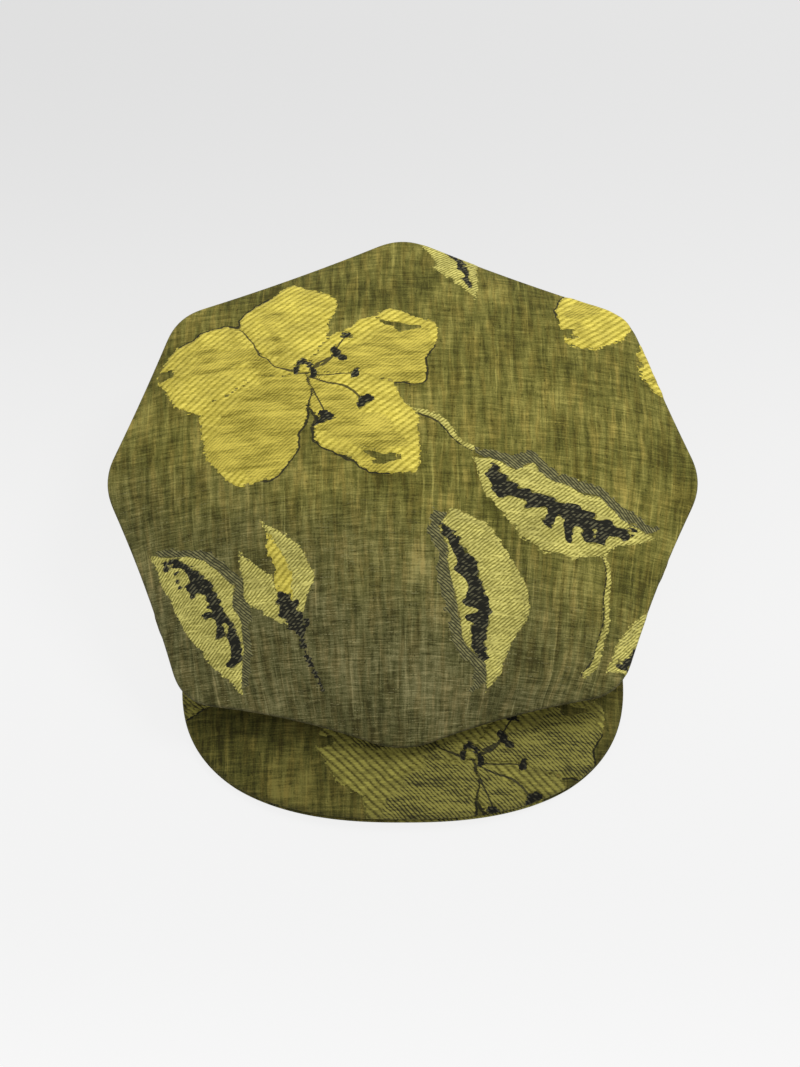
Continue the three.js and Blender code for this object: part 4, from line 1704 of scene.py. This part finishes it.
@dataclass
class SidePanels:
    """The ring of eight panels between the rim and the band. Metres and degrees.

    Attributes:
        rim: The outline that they hang from.
        band: The band that they end on.
        front_fold: Where the sides droop below the band's top, the way that they face at their foot.
        roundness: How far the curve leaves along the roll, as a share of the way to the band.
        upright: How far it comes to the band upright, where the rim is low and where it is high.
        ends: Share of its edge of the crown that each end stays clear of the next panel.
        rows, columns: Points down and along each panel.
        turned: How many of them lie where it rolls under from the seam.
        puff: How far each panel's middle swells.
        crease, crease_reach: How deep it is drawn in at its seams, and where that is a third as deep.
        cut_from: Where on the cloth the middle of each panel's upper edge is cut from.
    """

    rim: Rim
    band: HeadBand
    front_fold: float = -68.0
    roundness: float = 0.35
    upright: tuple[float, float] = (0.007, 0.010)
    ends: float = 0.0006
    rows: int = 46
    turned: int = 8
    columns: int = 84
    puff: float = 0.0012
    crease: float = 0.0007
    crease_reach: float = 0.002
    cut_from: tuple[tuple[float, float], ...] = (
        (0.275, 0.205), (0.150, 0.150), (0.080, 0.330), (0.230, 0.160),
        (0.265, 0.205), (0.060, 0.130), (0.275, 0.100), (0.275, 0.175),
    )

    WAYS = (
        "front_right", "right_front", "right_back", "back_right",
        "back_left", "left_back", "left_front", "front_left",
    )

    def skin(self, number: int, design: JacquardDesign) -> Skin:
        """Lay one panel.

        Each section rolls under from the seam, then runs on a cubic Bézier curve that heads for the band and
        meets it upright, or folded over where the rim hangs lower than the band's top.

        Args:
            number: Which panel, counted round from the front by the right.
            design: What is woven into it.

        Returns:
            The closed skin.
        """
        rim, band = self.rim, self.band
        turn = number + self.ends + (1 - 2 * self.ends) * np.linspace(0, 1, self.columns)
        at, out = rim.at(turn)
        angle = np.arctan2((at[:, 1] - band.centre) / band.half_length, at[:, 0] / band.half_width)
        foot = band.at(angle, band.thickness / 2)
        foot[:, 2] += band.height + rim.gap
        foot_out = unit(np.stack(
            [band.half_length * np.cos(angle), band.half_width * np.sin(angle), np.zeros(self.columns)], -1
        ))
        run = np.linalg.norm((at - foot)[:, :2], axis=1)
        descent = np.degrees(np.arctan2(at[:, 2] - rim.radius - foot[:, 2], run))
        facing = self.front_fold * (1 - smooth_step(descent, -30, 15))
        foot[:, 2] += rim.cloth / 2 * np.sin(np.radians(-facing))
        under = descent - 90

        start = rim.seam - math.degrees(rim.gap / 2 / rim.radius)
        down = np.linspace(0, 1, self.turned + 1)[:-1, None]
        rolled = rim.roll(at, out, start + (under - start) * down)
        leave = rim.roll(at, out, under)
        reach = self.roundness * np.hypot(run, leave[:, 2] - foot[:, 2])[:, None]
        low, high = self.upright
        rise = (low + (high - low) * smooth_step(descent, -30, 30))[:, None]
        after, before = leave + way_down(out, under) * reach, foot - way_down(foot_out, facing) * rise
        t = np.linspace(0, 1, self.rows - self.turned)[:, None, None]
        middle = self.swell(np.concatenate([rolled, bezier([leave, after, before, foot], t)]))
        down, along = run_lengths(middle, 0), run_lengths(middle, 1)
        from_edge = np.min([down, down[-1:] - down, along, along[:, -1:] - along], axis=0) / MM
        cloth = self.flat_cloth(down, along, number)
        return two_sided(middle, grid_normals(middle), rim.cloth, cloth, from_edge, design)

    def swell(self, middle: np.ndarray) -> np.ndarray:
        """Swell a panel's middle and draw it in at its side seams.

        The move along the normal is the puff times sin²(π · share down) · sin(π · share along), less the
        crease times sin(π · share down) · e^(-distance to the seam / its reach).

        Args:
            middle: The cloth's middle.

        Returns:
            The moved middle.
        """
        across = grid_normals(middle)
        down = np.linspace(0, 1, self.rows)[:, None]
        along = np.linspace(0, 1, self.columns)[None, :]
        width = np.linalg.norm(np.diff(middle, axis=1), axis=-1).sum(1)[:, None]
        nearest = np.minimum(along, 1 - along) * width
        ease = np.sin(math.pi * down)
        crease = self.crease * ease * np.exp(-nearest / self.crease_reach)
        move = self.puff * ease**2 * np.sin(math.pi * along) - crease
        return middle + across * move[..., None]

    def flat_cloth(self, down: np.ndarray, along: np.ndarray, number: int) -> np.ndarray:
        """Lay a panel on its own part of the cloth.

        Args:
            down: Length from the upper edge to each point.
            along: Length from one end to each point.
            number: Which panel it is.

        Returns:
            Places on the flat cloth.
        """
        across, top = self.cut_from[number]
        return np.stack([along - along[:, -1:] / 2 + across, top - down], -1)


@dataclass
class Peak:
    """The peak: an upper and a lower cover over a stiffener. Metres.

    Attributes:
        band: The band that it grows from.
        half_width: Of its outer edge.
        front: Y of the middle of its front edge.
        widest: Y of its widest place.
        end: Where its outer edge ends, beside the band.
        roundness: Power of its front outline, 2 being an ellipse.
        arch, arch_half_span: Rise of the middle of its front edge, and half the width over which it rises.
        camber: Its crowning between band and front edge.
        rounded_end: Share of its half run over which each end rounds into the band.
        narrow: What is left there of its run from the band, as a share.
        cover: Thickness of each cover.
        gap: Between neighbouring pieces.
        inset_half_span: Half the width over which a cover stays behind the outline.
        columns, rows: Points from side to side, and from the band to its edge.
        last_rows: How many of the rows the turn of the edge pushes back.
    """

    band: HeadBand
    half_width: float = 0.105
    front: float = -0.1424
    widest: float = -0.069
    end: tuple[float, float] = (0.086, -0.021)
    roundness: float = 2.35
    arch: float = 0.003
    arch_half_span: float = 0.078
    camber: float = 0.0012
    rounded_end: float = 0.05
    narrow: float = 0.12
    cover: float = 0.0016
    gap: float = 0.0003
    inset_half_span: float = 0.09
    columns: int = 301
    rows: int = 64
    last_rows: int = 8

    def outline(self, across: np.ndarray) -> np.ndarray:
        """The outer edge in plan: a rounded front to the widest place, then a quarter of an ellipse.

        Args:
            across: From -1 at its left end to 1 at its right end, at an even pace along the edge.

        Returns:
            Places in plan.
        """
        turn = np.linspace(0, 1.5 * math.pi, 3000)
        power = 2 / self.roundness
        early = np.minimum(turn, math.pi / 2)
        late = np.maximum(turn - math.pi / 2, 0) / 2
        x = self.half_width * np.sin(early) ** power - (self.half_width - self.end[0]) * (1 - np.cos(late))
        y = self.widest + (self.front - self.widest) * np.cos(early).clip(0) ** power
        y = y + (self.end[1] - self.widest) * np.sin(late)
        length = np.concatenate([[0], np.cumsum(np.hypot(np.diff(x), np.diff(y)))])
        way = np.abs(across) * length[-1]
        return np.stack([np.sign(across) * np.interp(way, length, x), np.interp(way, length, y)], -1)

    def under(self) -> tuple[np.ndarray, np.ndarray]:
        """The underside of the peak.

        Each column runs straight in plan from the band to the outer edge. Its height goes from the band's
        lower edge to the arch's height, plus the camber times sin(π · share). The columns at both ends
        shorten to narrow + (1 - narrow) · √(1 - t²) of their length, t going from 0 to 1 over the rounded
        end.

        Returns:
            Its places, rows by columns, and the share of the way out of each row.
        """
        outset = self.band.thickness + self.gap
        across = np.linspace(-1, 1, self.columns)
        last = math.asin((self.end[1] - self.band.centre) / (self.band.half_length + outset))
        root = self.band.at(-math.pi / 2 + across * (last + math.pi / 2), outset)
        plan = self.outline(across)
        rise = self.arch * np.clip(1 - (plan[:, 0] / self.arch_half_span) ** 2, 0, None)
        edge = np.concatenate([plan, rise[:, None]], -1)
        share = np.linspace(0, 1, self.rows)
        past = np.clip((np.abs(across) - 1) / self.rounded_end + 1, 0, 1)[:, None]
        edge = root + (edge - root) * (self.narrow + (1 - self.narrow) * np.sqrt(1 - past**2))
        middle = root + (edge - root) * share[:, None, None]
        middle[..., 2] += self.camber * np.sin(math.pi * share)[:, None]
        return middle, share

    def skin(self, lift: float, inset: float, offset: tuple[float, float], design: JacquardDesign) -> Skin:
        """Lay one cover: its top, a round outer edge and its underside.

        Args:
            lift: Height of its underside over the peak's.
            inset: How far its front edge stays behind the peak's outline.
            offset: Where its cloth lies in the jacquard's repeat.
            design: What is woven into it.

        Returns:
            The closed skin.
        """
        under, share = self.under()
        half = self.cover / 2
        out = unit((under[-1] - under[-2]) * np.array([1, 1, 0]))
        body = under[:-1].copy()
        back = half + inset * np.clip(1 - (under[-1, :, :1] / self.inset_half_span) ** 2, 0, 1)
        body[-self.last_rows :] -= out * back * np.linspace(0, 1, self.last_rows)[:, None, None]
        edge = under[-1] - out * back
        angle = np.linspace(math.pi / 2, -math.pi / 2, 9)[:, None, None]
        turned = edge + UP * (lift + half) + half * (np.cos(angle) * out + np.sin(angle) * UP)
        top = body + UP * (lift + self.cover)
        bottom = body[::-1] + UP * lift
        loop = np.concatenate([top, turned, bottom])
        rows, columns = loop.shape[:2]
        rounded = edge + half * (math.pi / 2 - np.abs(angle)) * out
        cloth = np.concatenate([body, rounded, body[::-1]])[..., :2] + np.array(offset)
        drawing = design.draw(cloth)
        stands = np.concatenate([np.ones(len(top)), np.linspace(1, 0, len(turned)), np.zeros(len(bottom))])
        inward = (run_lengths(under, 0)[-1:] - run_lengths(under, 0))[:-1] / MM
        from_edge = np.concatenate([inward, np.zeros((len(turned), columns)), inward[::-1]])
        if lift:
            loop = loop + UP * drawing.rise.reshape(rows, columns, 1) * stands[:, None, None]
        numbers = np.arange(rows * columns).reshape(rows, columns)
        faces = [grid_faces(0, rows, columns), strip_faces(numbers[0], numbers[-1])]
        pairs = rows // 2
        for column, turn in ((0, -1), (columns - 1, 1)):
            one, other = numbers[:pairs, column], numbers[::-1, column][:pairs]
            faces.append(strip_faces(one, other)[:, ::turn])
            faces.append(numbers[None, pairs - 1 : pairs + 2, column][:, ::turn])
        right_side = np.zeros(rows * columns)
        return Skin(loop.reshape(-1, 3), cloth.reshape(-1, 2), drawing, right_side, from_edge.ravel(), faces)


# The studio


@dataclass(frozen=True)
class Studio:
    """The pale floor, the soft light and the camera.

    Attributes:
        target: What the camera looks at.
        elevation: The camera's angle above the floor, in degrees.
        distance: From the camera to the target.
        scale, photo_height: The photograph's pixels for each metre at the target, and from top to bottom.
        near, middle, far: Brightness of the floor at the picture's bottom, round the cap and at the top.
        slant: How much brighter its right is than its left at the top.
        matt: The part of the floor's brightness that its light gives, and that a shadow takes away.
        size, low: Half the length of the floor's sides, and how far it lies below the cap's foot.
        around: Strength of the even light from all round.
        lamp_place, lamp_size, lamp_watts: Where the one square lamp hangs, its width and its power.
        lamp_colour: Its colour.
    """

    target: tuple[float, float, float] = (-0.0013, -0.0114, 0.045)
    elevation: float = 60.0
    distance: float = 1.4
    scale: float = 2110.0
    photo_height: float = 1067.0
    near: float = 0.945
    middle: float = 0.908
    far: float = 0.768
    slant: float = 0.035
    matt: float = 0.07
    size: float = 12.0
    low: float = 0.0002
    around: float = 0.62
    lamp_place: tuple[float, float, float] = (0.75, 0.45, 1.3)
    lamp_size: float = 0.6
    lamp_watts: float = 10.0
    lamp_colour: Colour = (1.0, 0.99, 0.97)

    def face(self, name: str, data: bpy.types.ID, place: Vector) -> bpy.types.Object:
        """Put the camera or a lamp in its place, facing the target.

        Args:
            name: Name of the object.
            data: The camera or the lamp.
            place: Where it goes.

        Returns:
            The object.
        """
        made = linked(name, data)
        made.location = place
        made.rotation_euler = (Vector(self.target) - place).to_track_quat("-Z", "Y").to_euler()
        return made

    def camera(self) -> None:
        """Make the camera, whose lens follows from the scale: 36 mm · scale · distance / photo height."""
        data = bpy.data.cameras.new("camera")
        data.sensor_width = 36.0
        data.lens = 36.0 * self.scale * self.distance / self.photo_height
        data.clip_start, data.clip_end = 0.05, 20.0
        lift = math.radians(self.elevation)
        back = Vector((0, -math.cos(lift), math.sin(lift)))
        made = self.face("camera", data, Vector(self.target) + back * self.distance)
        bpy.context.scene.camera = made

    def lamp(self) -> None:
        """Make one square lamp."""
        data = bpy.data.lights.new("key_lamp", "AREA")
        data.shape = "SQUARE"
        data.size, data.energy, data.color = self.lamp_size, self.lamp_watts, self.lamp_colour
        self.face("key_lamp", data, Vector(self.lamp_place))

    def floor(self) -> None:
        """Make the floor, which glows unevenly as painted light and takes a faint shadow."""
        mesh = bpy.data.meshes.new("floor")
        corners = ((-1, -1), (1, -1), (1, 1), (-1, 1))
        mesh.from_pydata([(x * self.size, y * self.size, -self.low) for x, y in corners], [], [(0, 1, 2, 3)])
        made = linked("floor", mesh)
        g = Graph("studio_floor")
        split = g.node("ShaderNodeSeparateXYZ", inputs={0: g.node("ShaderNodeTexCoord").outputs["Object"]})
        x, y = Value(g, split.outputs["X"]), Value(g, split.outputs["Y"])
        # Painted light: the floor glows brighter towards the front and darker towards the back, and at the
        # back a little darker at the left than at the right.
        glow = self.middle + (self.near - self.middle) * y.ramp(-0.17, -0.30) - self.matt
        beyond = self.far - self.middle + self.slant * (x.ramp(-0.25, 0.25) - 0.5)
        glow = glow + beyond * y.ramp(-0.06, 0.34)
        shader = g.node("ShaderNodeBsdfPrincipled", inputs={
            "Base Color": (self.matt, self.matt, self.matt),
            "Roughness": 0.9,
            "Specular IOR Level": 0.0,
            "Emission Color": g.vector(glow, glow, glow),
            "Emission Strength": 1.0,
        })
        made.data.materials.append(g.finish(shader))

    def build(self) -> None:
        """Make the camera, the floor, the lamp and the even light from all round."""
        bpy.context.scene.view_settings.view_transform = "Standard"
        self.camera()
        self.floor()
        self.lamp()
        world = bpy.data.worlds.new("studio")
        world.use_nodes = True
        background = world.node_tree.nodes["Background"]
        background.inputs["Color"].default_value = (1, 1, 1, 1)
        background.inputs["Strength"].default_value = self.around
        bpy.context.scene.world = world


def dress(
    name: str,
    skin: Skin,
    material: bpy.types.Material,
    node: str,
) -> None:
    """Make a cloth piece and give it its material and its place in the frame.

    Args:
        name: Name of the piece.
        skin: Its points and faces.
        material: Its finish.
        node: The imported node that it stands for.
    """
    piece = skin.make(name)
    piece.data.materials.append(material)
    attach(piece, "root")
    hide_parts(node)
    width, length, area = skin.cut()
    LOG.info(
        "%s: %d points, %d faces, cut %.0f x %.0f mm, %.0f cm2",
        name, len(piece.data.vertices), len(piece.data.polygons), width / MM, length / MM, area * 1e4,
    )


def main() -> None:
    """Load the frame, build the cap over it piece by piece, and set up the studio."""
    logging.basicConfig(level=logging.INFO, format="%(name)s: %(message)s", stream=sys.stdout)
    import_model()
    design = JacquardDesign()
    crown_cloth = JacquardFinish().material("crown_jacquard")
    band_cloth = JacquardFinish(tone=-0.03, front_shade=0.0).material("band_jacquard")
    # Painted shade: the peak's cloth is a darker, greener copy of the crown's jacquard, with darker grooves
    # and satin, for the shade under the crown. Its ribs also lean the other way.
    peak_cloth = JacquardFinish(
        lean=-1.0,
        bright=(0.70, 0.63, 0.13),
        groove=(0.12, 0.105, 0.012),
        satin_low=(0.05, 0.045, 0.007),
        satin_high=(0.61, 0.55, 0.115),
        shade=(0.472, 0.478, 0.45),
        seam_shade=0.25,
        tone=0.07,
        contrast=1.2,
        satin_ribs=0.85,
        satin_flow=2.3,
        satin_dash=0.6,
        front_shade=0.0,
    ).material("peak_jacquard_painted_shade")

    rim, band = Rim(), HeadBand()
    dress("crown_top_cloth", CrownTop(rim).skin(design), crown_cloth, "crown_top")
    panels = SidePanels(rim, band)
    for number, way in enumerate(panels.WAYS):
        panel = f"side_panel_{way}"
        dress(f"{panel}_cloth", panels.skin(number, design), crown_cloth, panel)
    dress("band_cloth", band.skin(design), band_cloth, "band")
    peak = Peak(band)
    lower = peak.skin(0.0, 0.0, (0.1, 0.02), design)
    dress("peak_lower_cloth", lower, peak_cloth, "peak_lower_cover")
    upper = peak.skin(peak.cover + peak.gap, 0.0007, (-0.078, 0.155), design)
    dress("peak_upper_cloth", upper, peak_cloth, "peak_upper_cover")
    Studio().build()


if __name__ == "__main__":
    main()
